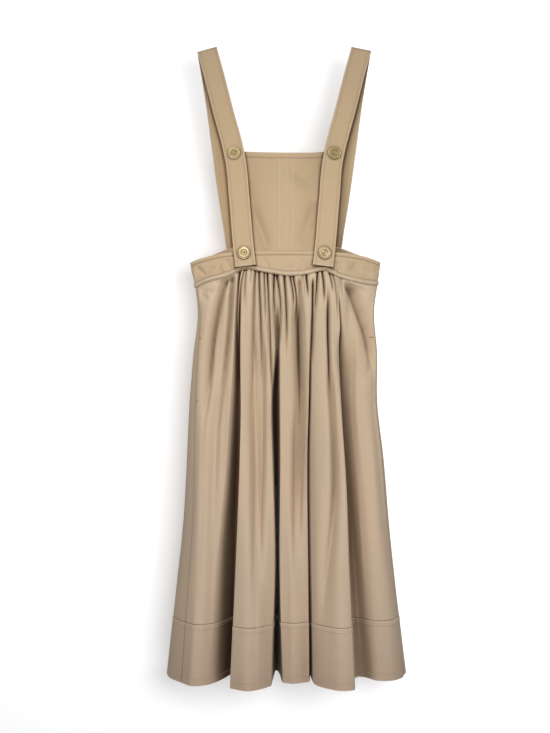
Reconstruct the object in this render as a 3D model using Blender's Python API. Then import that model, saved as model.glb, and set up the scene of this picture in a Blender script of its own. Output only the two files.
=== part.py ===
"""A pinafore dress: a gathered midi skirt on a waistband, a bib and two long buttoned straps.

It hangs hollow, as on a wearer who isn't there. The origin lies on the shoulder line, under
the middle of both straps, with -Y to the front and +Z up. Left and right are as seen from
the front, so +X is to the right. Every cloth wall of the skirt follows one closed ring round
the body. A place on the ring is a gather number: whole numbers count the small gathers along
the waist seam, and the ring's table says where each fold lies at the waist and at the hem.
"""

import math
from collections import namedtuple

import bpy
from mathutils import Vector

# Cloth and gaps
SEAM_GAP = 0.0003          # clear space left at every seam
SKIRT_CLOTH = 0.0016       # one layer of twill
HEM_CLOTH = 0.0022         # hem band, two layers pressed flat
BIB_CLOTH = 0.0020
BIB_FOLD = 0.0009          # extra thickness of the turned edge on top of the bib
BAND_CLOTH = 0.0026        # waistband, two layers and its stiffening
STRAP_CLOTH = 0.0026

# Heights, measured from the shoulder line
HEM_HEIGHT = -1.200
HEM_BAND = 0.112           # height of the hem band
SEAM_MEAN = -0.437         # mean height of the waist seam
BIB_TOP = -0.196           # at the bib's corners
BIB_SAG = 0.004            # how far the middle of its top edge hangs below them
BIB_HEM = 0.010            # height of the turned edge

# The waist: a flattened ring with sharp sides
Waist = namedtuple("Waist", "centre half_width")
WAIST_TOP = Waist(-0.0033, 0.1819)
WAIST_SEAM = Waist(-0.0010, 0.1737)
FRONT_DEPTH = 0.042
BACK_DEPTH = 0.036
WAIST_SHARPNESS = 1.35
SEAM_RIDGE = 0.0009        # how far the topstitched seam stands proud
SEAM_RIDGE_HEIGHT = 0.0070
BAND_HEIGHT = 0.045
BAND_STEP = 5.0            # degrees between the waistband's columns

# The bib
BIB_CENTRE = -0.0020
BIB_TOP_HALF = 0.1030
BIB_FOOT_HALF = 0.0870
BIB_TOP_DEPTH = 0.0165
BIB_CROWN = 0.0060         # how far its middle stands forward of its sides

# The straps
STRAP_CENTRE = -0.0055     # both straps mirror each other across this line
STRAP_HALF = 0.0195
STRAP_FOLD_RADIUS = 0.0055
STRAP_CLEAR = BAND_CLOTH / 2 + 0.0004 + STRAP_CLOTH / 2
STRAP_END_LIFT = 0.0030    # how far the free lower end stands off the waistband
STRAP_END_LIFT_RUN = 0.016

# Buttons
BUTTON_CLEAR = 0.0004
BUTTON_SIDES = 20
BUTTON_SEAT = 0.008        # half the stretch of strap that a button lies level on

# Gathers
GATHER_DEPTH = 0.0036      # half the height of a gather's wave
GATHER_AT_SEAM = 0.42      # share of that depth where the seam pinches it
GATHER_SWELL = 0.035       # share of the fall where a gather is fullest
GATHER_FADE = 0.33         # share of the fall where a middling gather has gone
GATHER_ENDS = 0.75         # gathers over which the first and last of them flatten out
CREST = 0.25               # where a gather's crest lies within it
FRONT_GATHERS = (0.0, 25.0)
BACK_GATHERS = (37.0, 62.0)
FRONT_PANEL = (-6.0, 31.0)
BACK_PANEL = (31.0, 68.0)
RING_GATHERS = 74.0
# What makes the gathers uneven. rate: radians a gather; size: share of their depth or reach
Uneven = namedtuple("Uneven", "rate size")
DEPTH_UNEVEN = (Uneven(2.3, 0.28), Uneven(0.9, 0.18))
REACH_UNEVEN = Uneven(1.7, 0.45)

# The ring. gather: place on the ring; turn: angle round the waist in degrees, 180 at the
# left side, 90 in front, 0 at the right side, -90 behind; across, depth: place at the hem;
# start: share of the fall where the fold begins; power: how early it deepens (small is early)
Fold = namedtuple("Fold", "name gather turn across depth start power")
RING = (
    Fold("left seam", -6.00, 172.0, -0.1995, -0.057, 0.00, 0.80),
    Fold("fold A crest", -4.00, 155.0, -0.1710, -0.083, 0.00, 0.80),
    Fold("fold A inner", -2.00, 140.0, -0.1400, -0.056, 0.00, 0.80),
    Fold("valley one wall", 0.75, 123.7, -0.1140, -0.008, 0.00, 0.70),
    Fold("valley one", 1.75, 119.8, -0.1080, 0.010, 0.00, 0.65),
    Fold("fold B wall", 2.50, 117.4, -0.1070, -0.044, 0.00, 0.75),
    Fold("fold B shoulder", 3.25, 115.1, -0.1030, -0.090, 0.00, 0.80),
    Fold("fold B crest", 4.50, 111.3, -0.0800, -0.119, 0.00, 0.90),
    Fold("fold B inner", 6.00, 107.0, -0.0570, -0.098, 0.00, 0.90),
    Fold("fold B side", 7.50, 103.0, -0.0385, -0.064, 0.00, 0.80),
    Fold("fold B corner", 8.25, 101.0, -0.0300, -0.036, 0.03, 0.70),
    Fold("fold B far wall", 9.00, 98.9, -0.0255, 0.010, 0.03, 0.60),
    Fold("middle gap", 9.75, 96.8, -0.0195, 0.040, 0.03, 0.55),
    Fold("fold C wall", 10.50, 94.7, -0.0135, 0.010, 0.03, 0.60),
    Fold("fold C corner", 11.25, 92.5, -0.0095, -0.030, 0.03, 0.70),
    Fold("fold C front", 12.25, 89.6, 0.0000, -0.048, 0.00, 0.85),
    Fold("fold C crest", 13.50, 86.0, 0.0130, -0.060, 0.00, 0.90),
    Fold("fold C inner", 14.75, 82.3, 0.0300, -0.050, 0.00, 0.85),
    Fold("fold C far wall", 16.00, 78.7, 0.0400, -0.008, 0.06, 0.75),
    Fold("valley three", 16.75, 76.5, 0.0438, 0.014, 0.08, 0.65),
    Fold("fold D wall", 17.45, 74.2, 0.0470, -0.016, 0.06, 0.75),
    Fold("fold D front", 18.10, 72.0, 0.0545, -0.062, 0.00, 0.85),
    Fold("fold D crest", 19.00, 68.9, 0.0740, -0.097, 0.00, 0.90),
    Fold("fold D full", 19.75, 66.4, 0.0970, -0.117, 0.00, 0.90),
    Fold("fold D inner", 20.50, 63.8, 0.1180, -0.106, 0.00, 0.90),
    Fold("fold D side", 21.10, 61.8, 0.1265, -0.066, 0.00, 0.80),
    Fold("valley five", 21.75, 59.5, 0.1310, 0.012, 0.00, 0.60),
    Fold("fold E wall", 23.25, 53.8, 0.1450, -0.008, 0.00, 0.70),
    Fold("fold E crest", 26.50, 37.0, 0.1750, -0.044, 0.00, 0.80),
    Fold("fold E side", 29.00, 20.0, 0.2060, -0.030, 0.00, 0.80),
    Fold("right seam", 31.00, 5.0, 0.2240, 0.003, 0.00, 0.90),
    Fold("right edge", 32.00, -4.0, 0.2300, 0.028, 0.00, 0.90),
    Fold("right round", 33.50, -21.0, 0.2170, 0.060, 0.00, 0.90),
    Fold("right back crest", 35.25, -38.0, 0.1950, 0.074, 0.00, 0.90),
    Fold("back valley one", 37.75, -52.5, 0.1710, 0.042, 0.05, 0.90),
    Fold("back fold one near", 39.25, -57.2, 0.1560, 0.078, 0.00, 0.90),
    Fold("back fold one", 40.75, -62.0, 0.1340, 0.094, 0.00, 0.90),
    Fold("back fold one far", 42.25, -66.8, 0.1100, 0.076, 0.00, 0.90),
    Fold("back valley two", 43.75, -71.6, 0.0940, 0.037, 0.05, 0.90),
    Fold("back fold two near", 45.25, -76.4, 0.0780, 0.076, 0.00, 0.90),
    Fold("back fold two", 46.75, -81.2, 0.0540, 0.094, 0.00, 0.90),
    Fold("back fold two far", 48.25, -86.0, 0.0290, 0.078, 0.00, 0.90),
    Fold("back valley three", 49.75, -90.8, 0.0130, 0.041, 0.05, 0.90),
    Fold("back fold three near", 51.25, -95.6, -0.0010, 0.080, 0.00, 0.90),
    Fold("back fold three", 52.75, -100.4, -0.0240, 0.097, 0.00, 0.90),
    Fold("back fold three far", 54.25, -105.2, -0.0500, 0.077, 0.00, 0.90),
    Fold("back valley four", 55.75, -110.0, -0.0670, 0.036, 0.05, 0.90),
    Fold("back fold four near", 57.25, -114.8, -0.0840, 0.075, 0.00, 0.90),
    Fold("back fold four", 58.75, -119.6, -0.1100, 0.092, 0.00, 0.90),
    Fold("back fold four far", 60.25, -124.4, -0.1370, 0.078, 0.00, 0.90),
    Fold("back valley five", 61.75, -129.5, -0.1580, 0.046, 0.05, 0.90),
    Fold("left back crest", 64.00, -146.0, -0.1900, 0.072, 0.00, 0.90),
    Fold("left round", 65.50, -163.0, -0.2160, 0.058, 0.00, 0.90),
    Fold("left edge", 66.50, -176.0, -0.2310, 0.026, 0.00, 0.90),
    Fold("left wrap", 67.25, -183.0, -0.2230, -0.018, 0.00, 0.85),
)

# Soft troughs down the folds. top_gather, foot_gather: where each runs; width: in gathers;
# depth: at its deepest; top, foot: the shares of the fall between which it shows
Trough = namedtuple("Trough", "top_gather foot_gather width depth top foot")
TROUGHS = (
    Trough(-1.5, -3.0, 0.9, 0.0070, 0.03, 0.75),
    Trough(-3.0, -5.0, 0.8, 0.0050, 0.06, 0.50),
    Trough(3.6, 7.2, 0.9, 0.0090, 0.10, 0.90),
    Trough(12.6, 14.2, 0.8, 0.0070, 0.08, 0.80),
    Trough(19.5, 19.8, 0.7, 0.0100, 0.03, 0.38),
    Trough(20.7, 18.5, 0.8, 0.0090, 0.30, 0.92),
    Trough(26.5, 28.0, 0.9, 0.0070, 0.03, 0.40),
    Trough(35.8, 34.5, 0.8, 0.0060, 0.05, 0.60),
    Trough(41.0, 42.0, 0.9, 0.0080, 0.10, 0.85),
    Trough(46.5, 45.5, 0.8, 0.0070, 0.06, 0.60),
    Trough(53.0, 54.0, 0.9, 0.0090, 0.12, 0.90),
    Trough(58.5, 57.5, 0.8, 0.0070, 0.05, 0.70),
    Trough(63.5, 64.5, 0.9, 0.0060, 0.06, 0.55),
)

# The skirt's outline. fall: share of the way from waist seam to hem; left, right: its edges
Outline = namedtuple("Outline", "fall left right")
OUTLINE = (
    Outline(0.00, -0.1747, 0.1728),
    Outline(0.06, -0.1709, 0.1671),
    Outline(0.18, -0.1788, 0.1731),
    Outline(0.31, -0.1867, 0.1735),
    Outline(0.45, -0.1940, 0.1850),
    Outline(0.62, -0.2029, 0.1960),
    Outline(0.80, -0.2165, 0.2115),
    Outline(1.00, -0.2310, 0.2300),
)
SPREAD_POWER = 0.80        # how early the skirt widens on its way down
OUTLINE_FROM = 0.50        # shares of the half width between which the outline takes over
OUTLINE_TO = 0.95
SEAM_POWER = 3             # how soon the rows below forget the waist seam's rise and fall
TROUGH_OPENS = 0.25        # shares of a trough's length over which it deepens and fades
TROUGH_FADES = 0.45

# The waistband's edges, round the body. seam: its lower edge, pulled up under the buttons
Edge = namedtuple("Edge", "turn top seam")
EDGES = (
    Edge(180.0, -0.4080, -0.4555),
    Edge(170.0, -0.4070, -0.4553),
    Edge(150.0, -0.4000, -0.4460),
    Edge(128.0, -0.3915, -0.4345),
    Edge(117.0, -0.3900, -0.4225),
    Edge(104.0, -0.3893, -0.4285),
    Edge(88.0, -0.3890, -0.4357),
    Edge(75.0, -0.3893, -0.4315),
    Edge(66.0, -0.3900, -0.4250),
    Edge(56.0, -0.3910, -0.4375),
    Edge(40.0, -0.3955, -0.4470),
    Edge(10.0, -0.4060, -0.4513),
    Edge(0.0, -0.4070, -0.4515),
    Edge(-10.0, -0.4060, -0.4513),
    Edge(-35.0, -0.3940, -0.4395),
    Edge(-58.0, -0.3750, -0.4205),
    Edge(-90.0, -0.3735, -0.4190),
    Edge(-122.0, -0.3750, -0.4205),
    Edge(-145.0, -0.3950, -0.4405),
    Edge(-170.0, -0.4070, -0.4553),
)

# The strap's middle line. out: distance from the straps' mirror line; lean: degrees
Strap = namedtuple("Strap", "height out lean")
STRAP_FRONT = (
    Strap(-0.4170, 0.0730, 6.5),
    Strap(-0.3880, 0.0765, 5.5),
    Strap(-0.2920, 0.0850, 5.5),
    Strap(-0.2150, 0.0925, 9.0),
    Strap(-0.1900, 0.0975, 14.0),
    Strap(-0.1220, 0.1157, 15.0),
    Strap(-0.0480, 0.1346, 15.5),
    Strap(0.0000, 0.1478, 16.0),
)
STRAP_BACK = (
    Strap(0.0000, 0.1478, 13.0),
    Strap(-0.0500, 0.1390, 9.5),
    Strap(-0.1160, 0.1290, 8.5),
    Strap(-0.1890, 0.1195, 8.0),
    Strap(-0.2840, 0.1065, 8.5),
    Strap(-0.3780, 0.0908, 9.0),
)

# Buttons. out and height on the strap
Button = namedtuple("Button", "name out height")
BUTTONS = (
    Button("upper", 0.0960, -0.2005),
    Button("lower", 0.0765, -0.3920),
)
# A button's turned outline from its back to its middle. radius, rise: its place
Turn = namedtuple("Turn", "radius rise")
BUTTON_OUTLINE = (
    Turn(0.0100, 0.0000),
    Turn(0.0123, 0.0006),
    Turn(0.0125, 0.0018),
    Turn(0.0114, 0.0027),
    Turn(0.0098, 0.0020),
    Turn(0.0066, 0.0019),
    Turn(0.0050, 0.0026),
    Turn(0.0030, 0.0020),
)
BUTTON_MIDDLE = 0.0023

# Rows and columns of the walls. Rows of the skirt, waistband and bib are shares of the fall
# or of the piece's height, and those of the straps are heights
CLOSE_ROWS = (0.0, 0.014, 0.042, 0.085, 0.14, 0.21, 0.29)
OPEN_ROWS = (0.39, 0.51, 0.64, 0.76)
CLOSE_STEP = 0.25          # gathers between columns among the gathers, and below them
OPEN_STEP = 0.5
BAND_ROWS = (0.0, 0.45)
BIB_ROWS = (0.82, 0.65, 0.45, 0.25, 0.10, 0.0)
BIB_COLUMNS = 8
EDGE_STEP = 0.015          # share of the height in which a thick edge steps up
STRAP_FRONT_ROWS = (-0.4170, -0.4090, -0.4010, -0.3880, -0.3600, -0.3200, -0.2800, -0.2400,
                    -0.2150, -0.2000, -0.1850, -0.1650, -0.1300, -0.0900, -0.0450)
STRAP_BACK_ROWS = (-0.0400, -0.0900, -0.1400, -0.1900, -0.2400, -0.2900, -0.3350, -0.3780)
STRAP_COLUMNS = (-1.0, -0.34, 0.34, 1.0)
STRAP_FOLD_STEPS = 6
SHARP_ANGLE = 50.0         # degrees past which two faces meet at an edge

CLOTH_COLOUR = (0.50, 0.39, 0.27, 1.0)
BRASS_COLOUR = (0.56, 0.46, 0.22, 1.0)


def clamp(value, low=0.0, high=1.0):
    return max(low, min(high, value))


def ease(value):
    """A soft step from 0 to 1."""
    t = clamp(value)
    return t * t * (3 - 2 * t)


def mix(a, b, share):
    return a + (b - a) * share


class Smooth:
    """A curve that runs smoothly through pairs of place and value."""

    def __init__(self, pairs):
        pairs = sorted(pairs)
        self.places = [place for place, _ in pairs]
        self.values = [value for _, value in pairs]
        spans = [b - a for a, b in zip(self.places, self.places[1:])]
        rises = [(b - a) / span for a, b, span in zip(self.values, self.values[1:], spans)]
        inner = [(spans[i + 1] * rises[i] + spans[i] * rises[i + 1]) / (spans[i] + spans[i + 1])
                 for i in range(len(spans) - 1)]
        self.slopes = [rises[0], *inner, rises[-1]]

    def __call__(self, place):
        place = clamp(place, self.places[0], self.places[-1])
        i = 0
        while i < len(self.places) - 2 and place > self.places[i + 1]:
            i += 1
        span = self.places[i + 1] - self.places[i]
        t = (place - self.places[i]) / span
        start = self.values[i] * (1 + 2 * t) + self.slopes[i] * span * t
        end = self.values[i + 1] * (3 - 2 * t) - self.slopes[i + 1] * span * (1 - t)
        return start * (1 - t) ** 2 + end * t ** 2


def round_ring(column):
    """A column of the ring's table as a curve over gather numbers, joined into a circle."""
    turn_back = 360.0 if column == "turn" else 0.0
    pairs = [(fold.gather, getattr(fold, column)) for fold in RING]
    before = [(place - RING_GATHERS, value + turn_back) for place, value in pairs[-3:]]
    after = [(place + RING_GATHERS, value - turn_back) for place, value in pairs[:3]]
    return Smooth(before + pairs + after)


def round_waist(column):
    """A column of the edges' table as a curve over the turn, joined into a circle."""
    pairs = [(edge.turn, getattr(edge, column)) for edge in EDGES]
    before = [(turn - 360.0, value) for turn, value in pairs[:3]]
    after = [(turn + 360.0, value) for turn, value in pairs[-3:]]
    return Smooth(before + pairs + after)


TURN = round_ring("turn")
ACROSS = round_ring("across")
DEPTH = round_ring("depth")
START = round_ring("start")
POWER = round_ring("power")
TOP_EDGE = round_waist("top")
SEAM_EDGE = round_waist("seam")
LEFT_EDGE = Smooth([(row.fall, row.left) for row in OUTLINE])
RIGHT_EDGE = Smooth([(row.fall, row.right) for row in OUTLINE])
HEM_FALL = 1 - HEM_BAND / (SEAM_MEAN - HEM_HEIGHT)


def waist_place(turn, waist):
    """Across and depth of the flattened ring at this turn."""
    angle = math.radians(turn)
    depth = -FRONT_DEPTH if math.sin(angle) > 0 else BACK_DEPTH
    return (waist.centre + waist.half_width * math.cos(angle),
            depth * abs(math.sin(angle)) ** WAIST_SHARPNESS)


def waist_turn(across, waist, front=True):
    """The turn at which the ring reaches this far across."""
    turn = math.degrees(math.acos(clamp((across - waist.centre) / waist.half_width, -1, 1)))
    return turn if front else -turn


def outline_shift(across, fall, spread):
    """What brings the evenly widening skirt to its real outline, near its sides."""
    left = mix(OUTLINE[0].left, OUTLINE[-1].left, spread)
    right = mix(OUTLINE[0].right, OUTLINE[-1].right, spread)
    edge, goal = (left, LEFT_EDGE(fall)) if across < 0 else (right, RIGHT_EDGE(fall))
    return (goal - edge) * ease((across / edge - OUTLINE_FROM) / (OUTLINE_TO - OUTLINE_FROM))


def skirt_middle(gather, fall):
    """The middle of the skirt's wall, without its small gathers."""
    waist_across, waist_depth = waist_place(TURN(gather), WAIST_SEAM)
    spread = fall ** SPREAD_POWER
    across = mix(waist_across, ACROSS(gather), spread)
    start = START(gather)
    grown = clamp((fall - start) / (1 - start)) ** POWER(gather)
    depth = mix(waist_depth, DEPTH(gather), grown)
    across += outline_shift(across, fall, spread)
    seam = seam_height(TURN(gather)) - SEAM_GAP
    height = mix(SEAM_MEAN, HEM_HEIGHT, fall) + (seam - SEAM_MEAN) * (1 - fall) ** SEAM_POWER
    return Vector((across, depth, height))


def turn_in_range(turn):
    return turn - 360.0 if turn > 180.0 else turn + 360.0 if turn < -180.0 else turn


def seam_height(turn):
    """Height of the waist seam, straight between the waistband's columns as its foot is."""
    turn = turn_in_range(turn)
    before = math.floor(turn / BAND_STEP) * BAND_STEP
    share = (turn - before) / BAND_STEP
    return mix(SEAM_EDGE(before), SEAM_EDGE(before + BAND_STEP), share)


def outward(gather, fall):
    """The level direction out of the cloth."""
    step = 0.02
    along = skirt_middle(gather + step, fall) - skirt_middle(gather - step, fall)
    return Vector((along.y, -along.x, 0)).normalized()


def gather_wave(gather, fall):
    """How far a small gather lifts the wall out, or presses it in where this is negative."""
    for first, last in (FRONT_GATHERS, BACK_GATHERS):
        if first < gather < last:
            inside = ease(min(gather - first, last - gather) / GATHER_ENDS)
            uneven = 1 + sum(part.size * math.sin(part.rate * gather) for part in DEPTH_UNEVEN)
            reach = GATHER_FADE * (1 + REACH_UNEVEN.size * math.sin(REACH_UNEVEN.rate * gather))
            swell = mix(GATHER_AT_SEAM, 1, ease(fall / GATHER_SWELL))
            fade = 1 - ease((fall - GATHER_SWELL) / reach)
            wave = math.cos(2 * math.pi * (gather - CREST))
            return GATHER_DEPTH * inside * uneven * swell * fade * wave
    return 0.0


def trough_depth(gather, fall):
    """How far the soft troughs press the wall in here."""
    pressed = 0.0
    for trough in TROUGHS:
        share = clamp((fall - trough.top) / (trough.foot - trough.top))
        shows = ease(share / TROUGH_OPENS) * ease((1 - share) / TROUGH_FADES)
        aside = (gather - mix(trough.top_gather, trough.foot_gather, share)) / trough.width
        pressed += trough.depth * shows * math.exp(-aside * aside)
    return pressed


def skirt_wall(gather, fall, cloth, trim):
    """Outer and inner point of the skirt's wall; trim draws a panel's edge back at a seam."""
    out = outward(gather, fall)
    middle = skirt_middle(gather, fall) + Vector((-out.y, out.x, 0)) * trim
    middle += out * (gather_wave(gather, fall) - trough_depth(gather, fall))
    return middle + out * cloth / 2, middle - out * cloth / 2


def columns(panel, gathers, step):
    """Gather numbers of a panel's columns, twice as far apart at its flat sides."""
    first, last = gathers
    aside = 2 * step
    sides = [panel[0] + aside * i for i in range(round((first - panel[0]) / aside))]
    far = [last + aside * i for i in range(round((panel[1] - last) / aside) + 1)]
    between = []
    place = first + CREST
    while place < last:
        between.append(place)
        place += step
    return [*sides, first, *between, *far]


def skirt_row(panel, places, fall, cloth):
    """One row of a skirt panel's wall: place, outer point and inner point of each column."""
    row = []
    for place in places:
        trim = {panel[0]: SEAM_GAP / 2, panel[1]: -SEAM_GAP / 2}.get(place, 0)
        row.append((place, *skirt_wall(place, fall, cloth, trim)))
    return row


def strip(near, far, near_base, far_base):
    """Triangles between two rows whose columns needn't match, and quads where they do."""
    faces = []
    i = j = 0
    while i < len(near) - 1 or j < len(far) - 1:
        next_near = near[i + 1] if i < len(near) - 1 else math.inf
        next_far = far[j + 1] if j < len(far) - 1 else math.inf
        if math.isclose(next_near, next_far):
            faces.append((near_base + i, far_base + j, far_base + j + 1, near_base + i + 1))
            i, j = i + 1, j + 1
        elif next_near < next_far:
            faces.append((near_base + i, far_base + j, near_base + i + 1))
            i += 1
        else:
            faces.append((near_base + i, far_base + j, far_base + j + 1))
            j += 1
    return faces


def wall(name, rows, material):
    """A closed wall from rows of (place, outer point, inner point), from top to foot."""
    starts = [0]
    for row in rows:
        starts.append(starts[-1] + len(row))
    total = starts[-1]
    points = [outer for row in rows for _, outer, _ in row]
    points += [inner for row in rows for _, _, inner in row]
    faces = []
    for upper, lower, near, far in zip(rows, rows[1:], starts, starts[1:]):
        outside = strip([c[0] for c in upper], [c[0] for c in lower], near, far)
        faces += outside
        faces += [tuple(total + corner for corner in reversed(face)) for face in outside]
        for a, b in ((near + len(upper) - 1, far + len(lower) - 1), (far, near)):
            faces.append((a, b, total + b, total + a))
    top = range(starts[0], starts[1] - 1)
    foot = range(starts[-2], starts[-1] - 1)
    faces += [(a, a + 1, total + a + 1, total + a) for a in top]
    faces += [(a + 1, a, total + a, total + a + 1) for a in foot]
    return piece(name, points, faces, material)


def piece(name, points, faces, material):
    mesh = bpy.data.meshes.new(name)
    mesh.from_pydata([tuple(point) for point in points], [], faces)
    mesh.materials.append(material)
    mesh.shade_smooth()
    mesh.set_sharp_from_angle(angle=math.radians(SHARP_ANGLE))
    made = bpy.data.objects.new(name, mesh)
    bpy.context.scene.collection.objects.link(made)
    return made


def material(name, colour, roughness, metallic):
    made = bpy.data.materials.new(name)
    made.use_nodes = True
    shader = made.node_tree.nodes["Principled BSDF"]
    shader.inputs["Base Color"].default_value = colour
    shader.inputs["Roughness"].default_value = roughness
    shader.inputs["Metallic"].default_value = metallic
    return made


def skirt_panel(name, panel, gathers, cloth):
    """A gathered panel from the waist seam to the hem band's seam."""
    close = columns(panel, gathers, CLOSE_STEP)
    open_columns = columns(panel, gathers, OPEN_STEP)
    rows = [skirt_row(panel, close, fall, SKIRT_CLOTH) for fall in CLOSE_ROWS]
    foot = HEM_FALL - SEAM_GAP / (SEAM_MEAN - HEM_HEIGHT)
    rows += [skirt_row(panel, open_columns, fall, SKIRT_CLOTH) for fall in (*OPEN_ROWS, foot)]
    return wall(name, rows, cloth)


def hem_panel(name, panel, gathers, cloth):
    """The deep band round the foot of a panel."""
    places = columns(panel, gathers, OPEN_STEP)
    rows = [skirt_row(panel, places, fall, HEM_CLOTH) for fall in (HEM_FALL, 1)]
    return wall(name, rows, cloth)


def band_middle(turn, share):
    """The middle of the waistband's wall; share runs from its top edge to its seam."""
    top = waist_place(turn, WAIST_TOP)
    seam = waist_place(turn, WAIST_SEAM)
    key = turn_in_range(turn)
    return Vector((mix(top[0], seam[0], share), mix(top[1], seam[1], share),
                   mix(TOP_EDGE(key), SEAM_EDGE(key), share)))


def band_row(turns, share, proud):
    """A row of the waistband; turns run from the wearer's right to left."""
    row = []
    step = 0.5
    for turn in turns:
        along = band_middle(turn - step, share) - band_middle(turn + step, share)
        out = Vector((along.y, -along.x, 0)).normalized()
        middle = band_middle(turn, share)
        if turn in (turns[0], turns[-1]):
            inward = Vector((-out.y, out.x, 0)) * (1 if turn == turns[0] else -1)
            middle += inward * SEAM_GAP / 2
        row.append((-turn, middle + out * (BAND_CLOTH / 2 + proud), middle - out * BAND_CLOTH / 2))
    return row


def waistband(name, first_turn, cloth):
    """Half of the waistband, with the topstitched seam standing up along its foot."""
    turns = [first_turn - BAND_STEP * i for i in range(round(180 / BAND_STEP) + 1)]
    ridge = 1 - SEAM_RIDGE_HEIGHT / BAND_HEIGHT
    shares = [(share, 0) for share in BAND_ROWS]
    shares += [(ridge - EDGE_STEP, 0), (ridge, SEAM_RIDGE), (1, SEAM_RIDGE)]
    return wall(name, [band_row(turns, share, proud) for share, proud in shares], cloth)


def bib_depth(across, height):
    """Depth of the middle of the bib, or of the waistband below its top edge."""
    turn = waist_turn(across, WAIST_TOP)
    foot = TOP_EDGE(turn)
    if height < foot:
        share = clamp((foot - height) / (foot - SEAM_EDGE(turn)))
        seam = waist_place(waist_turn(across, WAIST_SEAM), WAIST_SEAM)[1]
        return mix(waist_place(turn, WAIST_TOP)[1], seam, share)
    rise = clamp((height - foot) / (BIB_TOP - foot))
    crown = BIB_CROWN * (1 - ((across - BIB_CENTRE) / BIB_TOP_HALF) ** 2)
    return mix(waist_place(turn, WAIST_TOP)[1], -BIB_TOP_DEPTH - crown, rise)


def bib_half(name, side, cloth):
    """Half of the bib, from the centre seam to its side edge under the strap."""
    rows = []
    turned = 1 - BIB_HEM / (BIB_TOP - TOP_EDGE(90.0))
    shares = [(1, BIB_FOLD), (turned, BIB_FOLD), (turned - EDGE_STEP, 0)]
    for rise, fold in shares + [(row, 0) for row in BIB_ROWS]:
        half = mix(BIB_FOOT_HALF, BIB_TOP_HALF, rise)
        row = []
        for i in range(BIB_COLUMNS + 1):
            out = mix(SEAM_GAP / 2, half, i / BIB_COLUMNS)
            across = BIB_CENTRE + side * out
            foot = TOP_EDGE(waist_turn(across, WAIST_TOP)) + SEAM_GAP
            top = BIB_TOP - BIB_SAG * (1 - (out / half) ** 2)
            height = mix(foot, top, rise)
            middle = Vector((across, bib_depth(across, height), height))
            row.append((side * out, middle + Vector((0, -BIB_CLOTH / 2, 0)),
                        middle + Vector((0, BIB_CLOTH / 2 + fold, 0))))
        rows.append(row if side > 0 else row[::-1])
    return wall(name, rows, cloth)


class StrapLine:
    """A run of a strap as curves over the height."""

    def __init__(self, rows):
        self.out = Smooth([(row.height, row.out) for row in rows])
        self.lean = Smooth([(row.height, row.lean) for row in rows])


FRONT_LINE = StrapLine(STRAP_FRONT)
BACK_LINE = StrapLine(STRAP_BACK)
FOLD_CENTRE = -(STRAP_FOLD_RADIUS - STRAP_CLOTH / 2)


def front_strap_point(side, height, aside):
    """A point of the strap's middle in front; aside runs from its inner to its outer edge."""
    lean = math.radians(FRONT_LINE.lean(height))
    across = STRAP_CENTRE + side * (FRONT_LINE.out(height) + aside * math.cos(lean))
    level = height - aside * math.sin(lean)
    lifted = ease(1 - (height - STRAP_FRONT[0].height) / STRAP_END_LIFT_RUN)
    on_bib = bib_depth(across, min(level, BIB_TOP)) - STRAP_CLEAR - STRAP_END_LIFT * lifted
    free = clamp((level - BIB_TOP) / (FOLD_CENTRE - BIB_TOP))
    return Vector((across, mix(on_bib, -STRAP_FOLD_RADIUS, free), level))


def back_strap_point(side, height, aside, last):
    """A point of the strap's middle behind; the last row follows the waistband's edge."""
    lean = math.radians(BACK_LINE.lean(height))
    across = STRAP_CENTRE + side * (BACK_LINE.out(height) + aside * math.cos(lean))
    turn = waist_turn(across, WAIST_TOP, front=False)
    foot = TOP_EDGE(turn) + SEAM_GAP
    level = foot if last else height - aside * math.sin(lean)
    share = clamp((FOLD_CENTRE - level) / (FOLD_CENTRE - foot))
    return Vector((across, mix(STRAP_FOLD_RADIUS, waist_place(turn, WAIST_TOP)[1], share), level))


def fold_point(side, angle, aside):
    """A point of the strap's middle where it turns over the shoulder line."""
    share = angle / math.pi
    lean = math.radians(mix(FRONT_LINE.lean(0), BACK_LINE.lean(0), share))
    rise = STRAP_FOLD_RADIUS * math.sin(angle)
    across = FRONT_LINE.out(FOLD_CENTRE) + aside * math.cos(lean) + rise * math.sin(lean)
    level = FOLD_CENTRE - aside * math.sin(lean) + rise * math.cos(lean)
    return Vector((STRAP_CENTRE + side * across, -STRAP_FOLD_RADIUS * math.cos(angle), level))


def strap(name, side, cloth):
    """A strap, from its free end in front, over the shoulder and down to the back waistband."""
    asides = [STRAP_HALF * place for place in STRAP_COLUMNS]
    grid = [[front_strap_point(side, height, aside) for aside in asides]
            for height in (*STRAP_FRONT_ROWS, FOLD_CENTRE)]
    for i in range(1, STRAP_FOLD_STEPS):
        angle = math.pi * i / STRAP_FOLD_STEPS
        grid.append([fold_point(side, angle, aside) for aside in asides])
    for height in (FOLD_CENTRE, *STRAP_BACK_ROWS):
        last = height == STRAP_BACK_ROWS[-1]
        grid.append([back_strap_point(side, height, aside, last) for aside in asides])
    return wall(name, thick_rows(grid, STRAP_CLOTH, side), cloth)


def thick_rows(grid, cloth, side):
    """Rows of a wall from a grid of middle points; side keeps the outside outside."""
    rows = []
    for i, line in enumerate(grid):
        row = []
        for j, point in enumerate(line):
            along = grid[min(i + 1, len(grid) - 1)][j] - grid[max(i - 1, 0)][j]
            across = line[min(j + 1, len(line) - 1)] - line[max(j - 1, 0)]
            out = along.cross(across).normalized() * -side
            row.append((j * side, point + out * cloth / 2, point - out * cloth / 2))
        rows.append(row if side < 0 else row[::-1])
    return rows


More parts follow.
